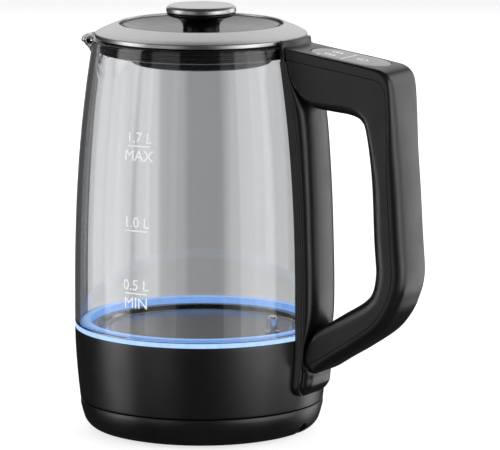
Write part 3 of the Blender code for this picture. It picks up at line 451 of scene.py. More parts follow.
SATIN_BLACK = moulded_plastic("satin_black", (0.0028, 0.0028, 0.003), (0.0042, 0.0042, 0.0045),
                              0.31, 0.39, specular=0.85)
SMOOTH_BLACK = moulded_plastic("smooth_black", (0.0024, 0.0024, 0.0026), (0.0036, 0.0036, 0.004),
                               0.22, 0.3, strength=0.05)
DISH_GREY = moulded_plastic("dish_grey", (0.07, 0.07, 0.073), (0.088, 0.088, 0.092), 0.28, 0.36, coat=0.3)
SOCKET_GREY = moulded_plastic("socket_grey", (0.07, 0.07, 0.072), (0.09, 0.09, 0.093), 0.4, 0.5)
PANEL_GREY = moulded_plastic("panel_grey", (0.085, 0.085, 0.088), (0.1, 0.1, 0.104), 0.14, 0.2,
                             strength=0.03, coat=0.5)
SILICONE = moulded_plastic("silicone", (0.006, 0.006, 0.009), (0.01, 0.01, 0.014), 0.34, 0.44, grain=1400)
FOOT_RUBBER = moulded_plastic("foot_rubber", (0.014, 0.014, 0.014), (0.024, 0.024, 0.024), 0.6, 0.75,
                              grain=900)
LID_STEEL = turned_steel("lid_steel", (0.66, 0.66, 0.665), 0.3, 0.4)
PLATE_STEEL = turned_steel("plate_steel", (0.06, 0.06, 0.061), 0.12, 0.22, lines=2600, strength=0.04,
                           rim=(0.0505, 0.0535, (0.3, 0.3, 0.3)))
PROBE_STEEL = plain_metal("probe_steel", (0.55, 0.55, 0.56), 0.12, 0.22)
SCREW_STEEL = plain_metal("screw_steel", (0.33, 0.33, 0.34), 0.3, 0.45)
ALUMINIUM = plain_metal("aluminium", (0.6, 0.6, 0.61), 0.4, 0.55)
BRASS = plain_metal("brass", (0.6, 0.42, 0.16), 0.25, 0.35)
GLASS = smoked_glass()
# The lit ring's glow is its own light. The darker stops at 0.6 and 0.66 (about 70.5 to 71.1 mm out, at the
# foot of the lip where it meets the band's top) are painted shade in that crease.
GLOW = lit_plastic("lit_diffuser", 0.0645, 0.0745, [
    (0.0, (0.20, 0.42, 0.90)), (0.25, (0.30, 0.54, 0.98)), (0.6, (0.22, 0.42, 0.86)),
    (0.66, (0.16, 0.34, 0.76)), (0.72, (0.40, 0.64, 1.0)), (1.0, (0.46, 0.69, 1.0)),
], 300, 0.92, 1.08, (0.03, 0.05, 0.09), 0.35)
# The seal's emission is painted light from the lit ring beside it; from the 0.86 stop out, at its outer
# edge, it gets almost none.
GLOW_SEAL = lit_plastic("glow_seal", 0.071, 0.074, [
    (0.0, (0.3, 0.52, 0.95)), (0.78, (0.26, 0.48, 0.92)),
    (0.86, (0.02, 0.07, 0.26)), (1.0, (0.02, 0.07, 0.26)),
], 500, 0.8, 0.95, (0.02, 0.05, 0.15), 0.4)
PRINT = print_white_painted_glow()
DISPLAY = display_light()
BOARD = circuit_board()


# ------------------------ power base


def arch_cutter(width, top, x0, x1):
    """A bar along X with a round top, from below the floor: half a circle over two straight sides."""
    a = np.linspace(0, math.pi, 17)
    y = np.concatenate([[width / 2], width / 2 * np.cos(a), [-width / 2]])
    z = np.concatenate([[-3], top - width / 2 + width / 2 * np.sin(a), [-3]])
    return cutter_between("arch", np.stack([np.stack([0 * y + x, y, z], axis=-1) for x in (x0, x1)]))


def power_base():
    """The bowl with the cable's arch cut in it, the connector post and the feet, all turned profiles."""
    bowl = spline([
        (BASE_RADIUS - 1.2, 10.4), (BASE_RADIUS - 2.9, 5.9), (BASE_RADIUS - 6.2, 2.5), (60.5, BASE_FLOOR),
    ], 8)
    rim = rounded([
        (65.5, 15.5), (67.3, BASE_TOP, 0.5), (BASE_RADIUS, BASE_TOP - 0.15, 0.9), (BASE_RADIUS, 15.4, 2),
    ], closed=False)
    inside = [(59.3, BASE_FLOOR), (59.3, 3.6), (65.9, 7.4), (68.4, 13.1), (14.3, 13.1), (14.3, 15.5)]
    profile = np.vstack([rim[:-1], (BASE_RADIUS, 15.2), bowl, inside])
    shell = turned("power_base_bowl", profile, "power_base", ["base_shell"], SATIN_BLACK)
    cut_away(shell, arch_cutter(6.5, 9.0, 60, 90))
    low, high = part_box("base_connector_post")
    foot, top = low.z / MM, high.z / MM
    post = rounded([
        (2.6, top, 0.3), (8.2, top, 0.3), (8.2, 16), (10.4, 16), (10.4, top, 0.3),
        (14.0, top, 1.2), (14.0, 12.8), (18.0, 12.8), (18.0, foot), (2.6, foot),
    ])
    turned("connector_post", post, "power_base", ["base_connector_post"], SOCKET_GREY,
           steps=96)
    for number in (1, 2, 3, 4):
        base_foot(f"rubber_foot_{number}", f"base_foot_{number}")


def base_foot(name, node):
    radius, foot, top = span(node)
    profile = rounded([(0, top), (radius, top, 0.3), (radius, foot, 1.2), (0, foot)], closed=False)
    turned(name, profile, "power_base", [node], FOOT_RUBBER, spot_of(node), 48)


def spot_of(node):
    """Where the middle of a node stands in plan, in millimetres from the axis."""
    low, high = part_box(node)
    middle = (low + high) / 2
    return (middle.x - AXIS) / MM, middle.y / MM


# ------------------------ housing and ring


def housing():
    """The housing wall, the lit ring that stands in its top and the seal under the glass, all turned."""
    heights = np.linspace(HOUSING_TOP - 0.5, HOUSING_FOOT + 0.7, 24)
    outside = np.column_stack([housing_radius(heights), heights])
    rim = HOUSING_TOP + SEAM
    top = [(71.6, rim), (BODY_RADIUS - 0.6, rim), (BODY_RADIUS - 0.2, HOUSING_TOP + 0.1)]
    foot = rounded([
        (housing_radius(HOUSING_FOOT + 1), HOUSING_FOOT + 1),
        (housing_radius(HOUSING_FOOT), HOUSING_FOOT + 0.1, 0.9),
        (68.9, HOUSING_FOOT, 0.4), (68.9, HOUSING_FOOT + 3),
    ], closed=False)
    inside = [(71.6, 54.5), (61.9, 54.5), (61.9, 60.3), (65.2, 60.3), (65.2, 58.4), (71.3, 58.4)]
    profile = np.vstack([top, outside, foot[1:], inside])
    turned("housing_wall", profile, "kettle", ["lower_housing"], SATIN_BLACK)
    inner, lip, lip_top = 65.2, 70.8, 65.0
    band_top = GLASS_FOOT - 0.3
    band_edge, band_foot = BODY_RADIUS - 0.1, HOUSING_TOP + SEAM + 0.05
    ring = rounded([
        (inner, lip_top, 0.6), (lip - 0.5, lip_top, 0.6), (lip, lip_top - 0.7, 0.4), (lip, band_top, 0.2),
        (band_edge, band_top, 0.3), (band_edge, band_foot, 0.2), (inner, HOUSING_TOP + 0.5),
    ])
    turned("glowing_ring", ring, "kettle", ["light_ring"], GLOW)
    seal_foot, seal_top, seal_edge = band_top + 0.03, GLASS_FOOT - 0.03, BODY_RADIUS - 0.3
    seal = rounded([
        (71.1, seal_top, 0.05), (seal_edge, seal_top, 0.05),
        (seal_edge, seal_foot, 0.05), (71.1, seal_foot, 0.05),
    ])
    turned("glass_foot_seal", seal, "kettle", ["glass_seal"], GLOW_SEAL)


# ------------------------ glass


SPOUT_HALF_TURN = 25.0  # degrees from the spout's middle to its side


def spout_weight(angle):
    """How much of the spout there is at each angle: a power of a cosine about the spout, zero beyond it."""
    off = np.abs(np.degrees(angle) - 180)
    return np.cos(np.clip(off / SPOUT_HALF_TURN, 0, 1) * math.pi / 2) ** 1.8


def glass_wall():
    """Outer and inner wall of the glass with the drawn spout.

    Radius = wall radius + spout weight x (a low shoulder at the trough's foot + the cube of the
    height over that foot), where the trough's foot rises with the square of the angle from the
    spout. The rim between the walls is half a turn of a small ellipse, which leans over into the
    lip at the spout.
    """
    angle = np.arange(300) * 2 * math.pi / 300
    weight = spout_weight(angle)
    off = np.abs(np.degrees(angle) - 180)
    trough_foot = 201.3 + 6.4 * (np.minimum(off, SPOUT_HALF_TURN) / 19) ** 2
    outer_reach = SPOUT_REACH - RIM_RADIUS - 3.4
    inner_reach = outer_reach - 3.2
    foot = GLASS_FOOT + 0.6

    def wall(top, inset, most):
        v = np.concatenate([[0, 0.003], np.linspace(0.008, 0.8, 34), np.linspace(0.81, 1, 34)])[:, None]
        z = foot + v * (top - foot)
        rise = np.clip((z - trough_foot) / (top - trough_foot), 0, 1)
        shoulder = np.clip(rise * 3.6, 0, 1)
        swell = 0.13 * shoulder**2 * (3 - 2 * shoulder) + 0.87 * rise**3
        return glass_radius(z) - inset + most * weight * swell, z

    outer_r, outer_z = wall(RIM - 1.0 - 5.4 * weight, 0, outer_reach)
    inner_r, inner_z = wall(RIM - 0.9 - 0.2 * weight, GLASS_WALL, inner_reach)
    turn = np.linspace(0, 1, 9)[1:-1, None]
    bulge = np.sin(turn * math.pi)
    edge_r = outer_r[-1] + (inner_r[-1] - outer_r[-1]) * (1 - np.cos(turn * math.pi)) / 2
    edge_r = edge_r + 0.7 * weight * bulge * (1 - turn)
    edge_z = outer_z[-1] + (inner_z[-1] - outer_z[-1]) * turn + (1.0 + 0.9 * weight) * bulge
    foot_r = np.stack([inner_r[0] + 0.6, outer_r[0] - 0.6])
    foot_z = np.full_like(foot_r, GLASS_FOOT)
    r = np.vstack([outer_r, edge_r, inner_r[::-1], foot_r])
    z = np.vstack([outer_z, edge_z, inner_z[::-1], foot_z])
    points = np.stack([r * np.cos(angle), r * np.sin(angle), z], axis=-1)
    grid_piece("glass_wall", points, "kettle", ["glass_body"], GLASS, True, True, sharp=34)


def flat_shape(curve):
    """A text or flat curve as a mesh of its own, in its own plane."""
    obj = new_object("flat", curve)
    bpy.context.view_layer.update()
    mesh = bpy.data.meshes.new_from_object(obj.evaluated_get(bpy.context.evaluated_depsgraph_get()))
    bpy.data.objects.remove(obj)
    return mesh


MARK_SIDE = -90  # the side of the glass that carries the marks, in degrees round the axis
PRINT_LIFT = 0.08
MARKS = (("full", 175.5, "1.7 L", "MAX"), ("one", 127.0, "1.0 L", ""), ("low", 90.8, "0.5 L", "MIN"))


def glass_print(name, text, height, base):
    """Printed characters wrapped on the glass: x becomes the angle from the marks' side, y the height."""
    curve = bpy.data.curves.new(name, "FONT")
    curve.body = text
    curve.size = height * 1.38
    curve.offset = 0.01
    curve.align_x = "CENTER"
    curve.extrude = 0.03
    curve.resolution_u = 4
    mesh = flat_shape(curve)
    points = np.empty(len(mesh.vertices) * 3)
    mesh.vertices.foreach_get("co", points)
    x, y, lift = points.reshape(-1, 3).T
    z = base + y
    r = glass_radius(z) + PRINT_LIFT + lift
    a = np.radians(MARK_SIDE) + x / r
    mesh.vertices.foreach_set("co", in_frame(np.column_stack([r * np.cos(a), r * np.sin(a), z])).ravel())
    mesh.update()
    build = bmesh.new()
    build.from_mesh(mesh)
    bmesh.ops.remove_doubles(build, verts=build.verts, dist=1e-6)
    bmesh.ops.recalc_face_normals(build, faces=build.faces)
    build.to_mesh(mesh)
    build.free()
    mesh.materials.clear()
    finish_piece(new_object(name, mesh), "kettle", [], PRINT)


def mark_line(name, z, width):
    """A printed stroke across the glass: a thin box section carried round at one height."""
    x = np.linspace(-width / 2, width / 2, 13)[:, None]
    up, out = np.array([(-0.35, -0.03), (0.35, -0.03), (0.35, 0.03), (-0.35, 0.03)]).T[:, None, :]
    r = glass_radius(z + up) + PRINT_LIFT + out
    a = np.radians(MARK_SIDE) + x / r
    points = np.stack([r * np.cos(a), r * np.sin(a), z + up + 0 * a], axis=-1)
    grid_piece(name, points, "kettle", [], PRINT, False, True, caps=True)


def litre_marks():
    """Each mark is a line at its volume's height, the value over it and the word under it."""
    for name, z, above, below in MARKS:
        mark_line(f"mark_{name}_line", z, 14.5)
        glass_print(f"mark_{name}_value", above, 6.2, z + 2.0)
        if below:
            glass_print(f"mark_{name}_word", below, 6.4, z - 8.4)


# ------------------------ plate and probe


def plate_and_probe():
    """The pan-shaped heating plate, turned about the axis, and the probe, turned about its own."""
    plate = rounded([
        (0, 59.5), (51.5, 59.5, 0.4), (52.9, 59.9, 0.5), (54.2, 58.6, 0.8), (59.0, 58.4, 1.2),
        (61.2, 61.5, 1.2), (64.2, 61.6, 0.2), (64.2, 60.7), (61.6, 60.7), (59.6, 57.5), (54.0, 57.5),
        (52.2, 58.5), (0, 58.5),
    ], closed=False)
    turned("plate_pan", plate, "kettle", ["heating_plate"], PLATE_STEEL)
    _, foot, top = span("temperature_probe")
    probe = rounded([
        (0, top), (3, top, 2.6), (3, 61.2, 0.6), (4, 60.6, 0.3), (4, 59.8), (2, 59.8), (2, foot), (0, foot),
    ], closed=False, steps=8)
    turned("probe_finger", probe, "kettle", ["temperature_probe"], PROBE_STEEL,
           spot_of("temperature_probe"), 48)


# ------------------------ handle


def out_from(body, top):
    """A point this far out from the body radius and this far under the rim."""
    return BODY_RADIUS + body, RIM - top


def in_from(back, z):
    """A point this far in from the back of the grip, at a height over the table."""
    return BODY_RADIUS + HANDLE_DEPTH - back, z


def handle_rows():
    """Pairs of points that the handle's section joins: outer line, inner line, then the two edge radii.

    They run from the rim over the top arm, down the grip and along the lower arm to the foot.
    """
    pairs = [
        (out_from(-8.7, 0.3), out_from(-8.1, 10.0), 1.2, 2.5),
        (out_from(-4.8, 0.8), out_from(-5.4, 20.5), 1.2, 4.0),
        (out_from(0.7, 1.6), out_from(-0.6, 28.2), 1.3, 5.0),
        (out_from(8.7, 2.7), out_from(8.0, 33.6), 1.4, 5.5),
        (out_from(20.7, 4.3), out_from(19.7, 35.2), 1.5, 6.0),
        (out_from(33.7, 6.0), out_from(29.7, 36.2), 1.7, 6.5),
        (out_from(42.7, 7.3), out_from(36.2, 38.1), 2.0, 7.0),
        (in_from(14.7, RIM - 9.0), in_from(27.1, 189.0), 2.6, 7.0),
        (in_from(9.5, RIM - 13.0), in_from(25.8, 186.2), 3.4, 7.0),
        (in_from(7.4, RIM - 19.5), in_from(24.9, 182.0), 4.2, 7.2),
        (in_from(6.1, 196.0), in_from(23.7, 174.0), 5.0, 7.5),
        (in_from(4.8, 174.0), in_from(22.4, 162.0), 5.8, 7.8),
        (in_from(3.1, 152.0), in_from(21.5, 148.0), 6.2, 8.0),
        (in_from(1.6, 128.0), in_from(20.5, 124.0), 6.2, 8.0),
        (in_from(0.4, 112.0), in_from(19.5, 111.0), 6.2, 8.0),
        (in_from(0.0, 104.5), in_from(19.1, 104.0), 6.2, 8.0),
        (in_from(0.8, 96.5), in_from(19.8, 97.0), 6.0, 7.6),
        (in_from(3.2, 89.0), in_from(21.1, 92.5), 5.8, 7.4),
        (in_from(7.2, 80.0), in_from(23.5, 88.8), 5.6, 7.2),
        (in_from(16.0, 69.0), in_from(29.0, 84.4), 5.4, 7.0),
        (out_from(35.4, RIM - 58.1), out_from(27.2, RIM - 78.0), 5.2, 6.4),
        (out_from(22.7, RIM - 50.3), out_from(18.2, RIM - 72.3), 5.0, 5.6),
        (out_from(15.9, RIM - 46.0), out_from(10.7, RIM - 67.6), 4.6, 5.0),
        (out_from(12.4, RIM - 43.7), out_from(5.9, RIM - 61.1), 4.0, 4.6),
        (out_from(10.3, RIM - 42.4), out_from(3.0, RIM - 52.3), 3.0, 3.6),
        (out_from(9.1, RIM - 41.6), out_from(2.6, RIM - 43.5), 1.8, 2.0),
    ]
    rows = np.array([[*outer, *inner, r_out, r_in] for outer, inner, r_out, r_in in pairs])
    return spline(rows, 7)


def half_section(depth_from, depth_to, radius, half_width, crown, sign):
    """One side of the rounded section, from the seam round one corner to the middle of the face.

    depth_from and depth_to are distances along the section's own depth axis. The corner is a
    quarter circle, and the face swells by crown in the middle. Returns depth and sideways places.
    """
    side_t = np.linspace(0, 1, 5)[:, None]
    turn = np.linspace(0, math.pi / 2, 10)[1:, None]
    face_t = np.linspace(0, 1, 8)[1:, None]
    corner = depth_to - sign * radius
    side_depth = depth_from + (corner - depth_from) * side_t
    side_y = half_width + 0 * side_depth
    corner_depth = corner + sign * radius * np.sin(turn)
    corner_y = half_width - radius * (1 - np.cos(turn))
    face_y = (half_width - radius) * (1 - face_t)
    face_depth = depth_to + 0 * face_y
    depth = np.vstack([side_depth[:1], side_depth, corner_depth, face_depth])
    y = np.vstack([side_y[:1] - SEAM_TUCK, side_y, corner_y, face_y])
    swell = crown * (1 - (y / half_width) ** 2)
    swell[:len(side_t) + 1] = 0
    return depth + sign * swell, y


FOOT_ROUND_FROM = 48.0  # height under which the handle's foot narrows


def handle_strip(outer_side):
    """The outer cover (True) or the inner shell (False), as a sheet of section points along the handle."""
    rows = handle_rows()
    outer, inner, r_out, r_in = rows[:, 0:2], rows[:, 2:4], rows[:, 4], rows[:, 5]
    middle = (outer + inner) / 2
    depth = np.linalg.norm(outer - inner, axis=1)
    along = (outer - inner) / depth[:, None]
    half = depth / 2
    wrap = np.minimum(6.1, 0.62 * depth)
    seam = half - wrap
    foot = np.clip((FOOT_ROUND_FROM - middle[:, 1]) / 5.0, 0, 1)
    half_width = HANDLE_WIDTH / 2 - 3.3 * foot**2
    grip = np.clip((rows[:, 4] - 2.0) / 4.0, 0, 1)
    if outer_side:
        d, y = half_section(seam, half, np.minimum(r_out, wrap - 0.3), half_width, 0.9 * grip, 1)
    else:
        room = (seam - SEAM + half) - 0.3
        d, y = half_section(seam - SEAM, -half, np.minimum(r_in, room), half_width, 0.5 * grip, -1)
    d = np.vstack([d, d[-2::-1]]).T
    y = np.vstack([y, -y[-2::-1]]).T
    x = middle[:, 0, None] + along[:, 0, None] * d
    z = middle[:, 1, None] + along[:, 1, None] * d
    return np.stack([x, y, z], axis=-1)


def handle():
    """The outer cover, with room cut in its top for the touch panel, and the inner shell."""
    cover = grid_piece("handle_back_cover", handle_strip(True), "kettle",
                       ["handle_outer_cover"], SATIN_BLACK, wall=1.6, sharp=50)
    cut_away(cover, panel_cutter())
    cover.data.set_sharp_from_angle(angle=math.radians(50))
    grid_piece("handle_grip_shell", handle_strip(False), "kettle", ["handle_inner_shell"],
               SATIN_BLACK, wall=1.6, sharp=50)


def spine():
    """The strip between glass and handle: a flange against the glass and a rounded column on it.

    At each height the section runs from the glass out along the flange's side, in by a small step,
    round a quarter of an ellipse to the outer face, and back the same way on the other side.
    """
    face = spline([
        (27.3, 0.3), (28.5, 2.2), (30.4, 3.8), (33.6, 5.5), (38.0, 6.1), (41.5, 6.6), (44.5, 5.3), (47, 3.3),
        (56, 3.7), (66, 6.9), (76, 8.6), (95, 8.9), (118, 8.3), (142, 7.5), (160, 6.5), (179, 5.2),
        (192, 3.5), (200, 0.6), (207, -2.7), (215, -6.6), (222, -8.0),
    ], 8)
    z, out = face[:, 0], face[:, 1] + BODY_RADIUS
    foot = np.clip((33.5 - z) / 6.2, 0, 1)
    flange_half = 17.5 - 6.0 * (1 - np.sqrt(1 - foot**2))
    flange_depth = np.interp(z, [27, 36, 60, 190, 222], [3.5, 4.6, 5.2, 5.2, 4.4])
    flange_out = body_radius(z) * np.cos(np.arcsin(flange_half / body_radius(z))) + flange_depth
    flange_out = np.minimum(flange_out, out - 0.3)
    step = 1.1
    corner_half = flange_half - step - 1.7 * np.clip((50 - z) / 8, 0, 1)
    round_y = np.interp(z, [27, 45, 60, 190, 222], [5.0, 6.0, 11.5, 11.5, 6.0])
    turn = np.linspace(0, math.pi / 2, 12)[:, None]
    corner_x = flange_out + 0.1 + (out - flange_out - 0.1) * np.sin(turn) ** 0.9
    corner_y = corner_half - round_y * (1 - np.cos(turn))
    face_y = (corner_half - round_y) * np.array([0.6, 0.2])[:, None]

    def wall_x(y):
        return np.sqrt((body_radius(z) + 0.25) ** 2 - y**2)

    flange = [
        (wall_x(flange_half - 0.2), flange_half - 0.3), (wall_x(flange_half) + 0.3, flange_half),
        (flange_out - 0.8, flange_half), (flange_out - 0.2, flange_half - 0.25),
        (flange_out, flange_half - 0.7), (flange_out, corner_half),
    ]
    flange_x, flange_y = zip(*flange)
    side_x = np.vstack([flange_x, corner_x, np.repeat(out[None], 2, 0) + 0.15])
    side_y = np.vstack([flange_y, corner_y, face_y])
    back_y = np.linspace(-1, 1, 9)[1:-1, None] * (flange_half - 0.3)
    back_x = wall_x(back_y)
    x = np.vstack([side_x, side_x[::-1], back_x]).T
    y = np.vstack([side_y, -side_y[::-1], back_y]).T
    points = np.stack([x, y, z[:, None] + 0 * x], axis=-1)
    grid_piece("spine_column", points, "kettle", ["handle_spine"], SATIN_BLACK, False, True,
               caps=True, sharp=45)


COLLAR_TOP = 233.8
COLLAR_DROP = 3.2  # how far the collar's rounded ends fall


def collar():
    """The upstand at the rim: a profile carried through a short turn about the axis, with rounded ends."""
    reach_angle = math.asin(17.0 / 66.0)
    turn = np.linspace(-1, 1, 61)
    ends = np.sqrt(np.clip(1 - np.clip((np.abs(turn) - 0.93) / 0.07, 0, 1) ** 2, 0, 1))
    top = COLLAR_TOP - COLLAR_DROP * (1 - ends)
    profile = rounded([
        (63.0, 0.0, 0.5), (65.9, 0.0, 1.1), (66.1, -3.6, 1.0), (67.4, -4.2, 0.3), (67.4, -12.0),
        (64.6, -12.0), (63.4, -4.0, 0.5),
    ])
    r, down = profile[:, 0], profile[:, 1]
    z = np.where(down > -4.5, top[:, None] + down, COLLAR_TOP + down)
    a = turn * reach_angle
    points = np.stack([r * np.cos(a)[:, None], r * np.sin(a)[:, None], z], axis=-1)
    grid_piece("rim_upstand", points, "kettle", ["rim_collar"], SATIN_BLACK, False, True,
               caps=True)


TOP_SLOPE = 0.134
PANEL_MIDDLE = 99.2  # distance of the panel's middle from the axis
PANEL_HALF = 24.7  # half of the panel's length
PANEL_ROUND = 13.5  # radius of its ends, which is half of its width


def on_top(along, across, lift):
    """Points on the handle's sloping top, from distances along it, across it and out of it."""
    tilt = math.atan(TOP_SLOPE)
    height = RIM - 0.3 - TOP_SLOPE * (PANEL_MIDDLE - BODY_RADIUS + 8.9)
    x = PANEL_MIDDLE + along * math.cos(tilt) + lift * math.sin(tilt)
    z = height - along * math.sin(tilt) + lift * math.cos(tilt)
    return np.stack([x, across + 0 * x, z + 0 * x], axis=-1)


def stadium(grow):
    """Outline of a bar with round ends, grown by a distance."""
    half = PANEL_HALF - PANEL_ROUND
    a = np.linspace(-math.pi / 2, math.pi / 2, 40)
    radius = PANEL_ROUND + grow
    right = np.column_stack([half + radius * np.cos(a), radius * np.sin(a)])
    left = np.column_stack([-half - radius * np.cos(a), -radius * np.sin(a)])
    return np.vstack([right, left])


def panel_cutter():
    """The touch panel's outline, a little larger, from under the handle's top to over it."""
    line = stadium(0.3)
    return cutter_between("panel_room", np.stack([on_top(*line.T, lift) for lift in (-4.0, 3.0)]))


def touch_panel():
    """Glossy plate let into the handle's top: stadium outlines at falling heights round its edge."""
    steps = [
        (-13.0, 0.02), (-6.0, 0.02), (-0.9, 0.02), (-0.5, -0.02), (-0.1, -0.2), (0.0, -0.5), (0.0, -1.9),
        (-6.0, -1.9), (-13.0, -1.9),
    ]
    rows = [on_top(*stadium(grow).T, lift) for grow, lift in steps]
    grid_piece("touch_plate", np.stack(rows), "kettle", ["touch_panel"], PANEL_GREY,
               False, True, caps=True)
    stroke("panel_divider", [(-1.2, -10.5), (-1.2, 10.5)], 0.5)
    for number, across in enumerate((-4.6, 4.6)):
        digit(f"panel_digit_{number + 1}", -11.2, across)
    stroke("panel_degree", ring_line(-15.8, -10.2, 0.9), 0.45)
    stroke("panel_switch_ring", ring_line(7.5, 0.0, 2.9, 0.35), 0.55)
    stroke("panel_switch_bar", [(4.0, 0.0), (7.6, 0.0)], 0.55)


def ring_line(along, across, radius, gap=0.0):
    """Points round a circle on the panel, with a gap of this many radians on each side of its start."""
    a = np.linspace(math.pi + gap, 3 * math.pi - gap, 25)
    return [(along + radius * math.cos(t), across + radius * math.sin(t)) for t in a]


def digit(name, along, across):
    """An eight made of seven strokes, read from the handle's side."""
    high, wide = 3.1, 2.0
    bars = [((-high, -wide), (-high, wide)), ((0, -wide), (0, wide)), ((high, -wide), (high, wide))]
    bars += [((s * high, side * wide), (0, side * wide)) for s in (-1, 1) for side in (-1, 1)]
    for number, (start, end) in enumerate(bars):
        ends = np.array([start, end]) * 0.86
        stroke(f"{name}_bar_{number}", [(along + p[0], across + p[1]) for p in ends], 0.62)


def stroke(name, line, width):
    """A thin raised line on the panel: a box section carried along a path."""
    path = np.array(line, float)
    direction = np.gradient(path, axis=0)
    direction /= np.linalg.norm(direction, axis=1)[:, None]
    side = np.column_stack([-direction[:, 1], direction[:, 0]]) * width / 2
    corners = [(1, 0.08), (1, 0.03), (-1, 0.03), (-1, 0.08)]
    columns = [on_top(*(path + s * side).T, lift) for s, lift in corners]
    points = np.stack(columns, axis=1)
    grid_piece(name, points, "kettle", [], DISPLAY, False, True, caps=True)


# ------------------------ lid


def lid():
    """The steel ring, the dish, the carrier, the ribbed seal and the cup, all turned profiles."""
    edge, crown = LID_EDGE, LID_CROWN
    inner = 47.8
    slope = spline([(inner + 0.8, crown), (53, crown - 1.7), (58, crown - 3.8), (edge - 0.8, 233.7)], 6)
    inner_edge = rounded([(inner, crown - 3), (inner, crown, 0.8), (inner + 1.6, crown - 0.3)], closed=False)
    outer_edge = rounded([
        (edge - 0.8, 233.7), (edge, 233.2, 0.5), (edge, 231.0, 0.3), (edge - 1, 231.0), (edge - 1, 232.4),
    ], closed=False)
    underside = [(55, 235.0), (inner + 1, crown - 1.6), (inner + 1, crown - 3)]
    ring = np.vstack([inner_edge[:-1], slope, outer_edge[1:], underside])
    turned("lid_top_ring", ring, "lid", ["lid_ring"], LID_STEEL)
    dish_edge = rounded([(45.3, 236.2), (45.3, 238.3, 0.5), (44.6, 238.0)], closed=False)
    dish_line = spline([(45.1, 238.0), (38, 236.7), (28, 235.4), (18, 234.7), (10.9, 234.5)], 8)
    dish = np.vstack([dish_edge[:-1], dish_line, [(10.9, 233.5), (27.2, 234.3), (40, 236.0)]])
    turned("lid_centre_dish", dish, "lid", ["lid_dish"], DISH_GREY)
    body = rounded([
        (1.7, 233.2), (45.6, 233.2), (45.6, 237.2, 0.4), (47.5, 237.2, 0.4), (47.5, 233.2),
        (58.0, 233.2, 1.0), (58.0, 231.4, 0.4), (54.5, 231.4), (54.5, 223.5), (52.5, 223.5),
        (52.5, 231.4), (1.7, 231.4),
    ])
    turned("lid_carrier", body, "lid", ["lid_body"], SMOOTH_BLACK)
    ribs = []
    for rib in range(4):
        z = 230.8 - 2.35 * rib
        ribs += [(57.0, z, 0.3), (58.9, z - 0.5, 0.5), (59.1, z - 1.2, 0.5), (57.2, z - 1.75, 0.4)]
    seal = rounded([(54.8, 230.8)] + ribs + [(55.6, 221.4, 0.8), (54.8, 221.9)])
    turned("lid_ribbed_seal", seal, "lid", ["lid_seal"], SILICONE)
    cup = rounded([
        (0, 224.0), (37, 224.0), (52.2, 226.0), (52.2, 222.4, 0.6), (43.5, 221.4, 1.5), (42.0, 218.6, 1.5),
        (40.6, 216.2, 1.6), (37.5, 215.2, 1.2), (0, 215.2),
    ], closed=False)
    turned("lid_bottom_cup", cup, "lid", ["lid_inner_cup"], SMOOTH_BLACK)


def knob():
    """The knob's flared stem and the steel disc on it."""
    top = span("knob_disc")[2]
    stem_top = rounded([(0, 244.9), (20.0, 244.9, 0.5), (20.0, 244.2)], closed=False)
    flare = spline([
        (20.0, 244.2), (19.4, 243.3), (17.2, 242.5), (14.0, 241.4), (11.6, 239.4), (10.7, 237.0),
        (10.6, 234.8),
    ], 6)
    stem = np.vstack([stem_top[:-1], flare, [(10.6, 233.5), (1.7, 233.5), (1.7, 241.5), (0, 241.5)]])
    turned("knob_neck", stem, "lid", ["knob_stem"], SMOOTH_BLACK, steps=128)
    disc = rounded([
        (0, top), (14, top - 0.05), (18.6, top - 0.15, 0.8), (20.3, top - 1.8, 0.7), (20.3, 245.4, 0.4),
        (19.4, 245.15), (0, 245.15),
    ], closed=False)
    turned("knob_cap", disc, "lid", ["knob_disc"], LID_STEEL, steps=128)


# ------------------------ pieces kept from the model


def dress_kept_nodes():
    """Finishes for the nodes that no new piece replaces."""
    finishes = {
        SATIN_BLACK: ["base_bottom_cover", "housing_bottom_cover", "heater_relay"],
        SOCKET_GREY: ["kettle_coupler", "display_module"],
        BRASS: ["base_live_contact", "base_neutral_contact", "coupler_centre_pin", "coupler_contact_ring"],
        BOARD: ["power_board", "led_board", "control_board"],
        ALUMINIUM: ["heat_spreader", "thermal_cutout_1", "thermal_cutout_2"],
        PROBE_STEEL: ["heating_element"],
        SILICONE: ["handle_cable"],
        SCREW_STEEL: [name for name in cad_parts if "screw" in name],
    }
    for finish, names in finishes.items():
        for name in names:
            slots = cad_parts[name].data.materials
            slots.clear()
            slots.append(finish)


# ------------------------ studio


CAMERA_SIDE = -60.0  # the side that the camera looks from, in degrees round the axis
GLOSSY_SURROUND = 0.03  # how bright the surround is in reflections
DIFFUSE_SURROUND = 0.25  # how much it lights
SURROUND_THROUGH_GLASS = 0.12
LIGHTS = (  # name, turn, distance, height, width, how tall, radiance
    ("left_box", -81, 1.3, 0.25, 0.70, 1.5, 1.7),
    ("left_fill", -37, 1.5, 0.2, 0.80, 1.5, 0.45),
    ("right_fill", 28, 1.5, 0.2, 0.42, 1.5, 0.4),
    ("right_box_near", 43, 1.45, 0.25, 0.38, 1.5, 1.4),
    ("right_box", 60, 1.4, 0.25, 0.50, 1.5, 1.9),
    ("right_edge", 86, 1.4, 0.25, 0.60, 1.5, 1.2),
    ("handle_box", 123, 1.3, 0.2, 0.62, 1.5, 1.7),
    ("back_sky", 180, 1.35, 1.05, 1.7, 1.9, 0.85),
)


def studio_floor():
    """A plain white floor, which reflections and the glass don't show."""
    plane = bpy.data.meshes.new("floor")
    half = 6.0
    corners = [(-half, -half, 0), (half, -half, 0), (half, half, 0), (-half, half, 0)]
    plane.from_pydata(corners, [], [(0, 1, 2, 3)])
    floor = new_object("floor", plane)
    floor.visible_glossy = False
    floor.visible_transmission = False
    n = Nodes("studio_floor")
    n.set(Base_Color=(0.85, 0.85, 0.85, 1), Roughness=0.9)
    n.set(Emission_Color=(1, 1, 1, 1), Emission_Strength=0.72)
    plane.materials.append(n.material)


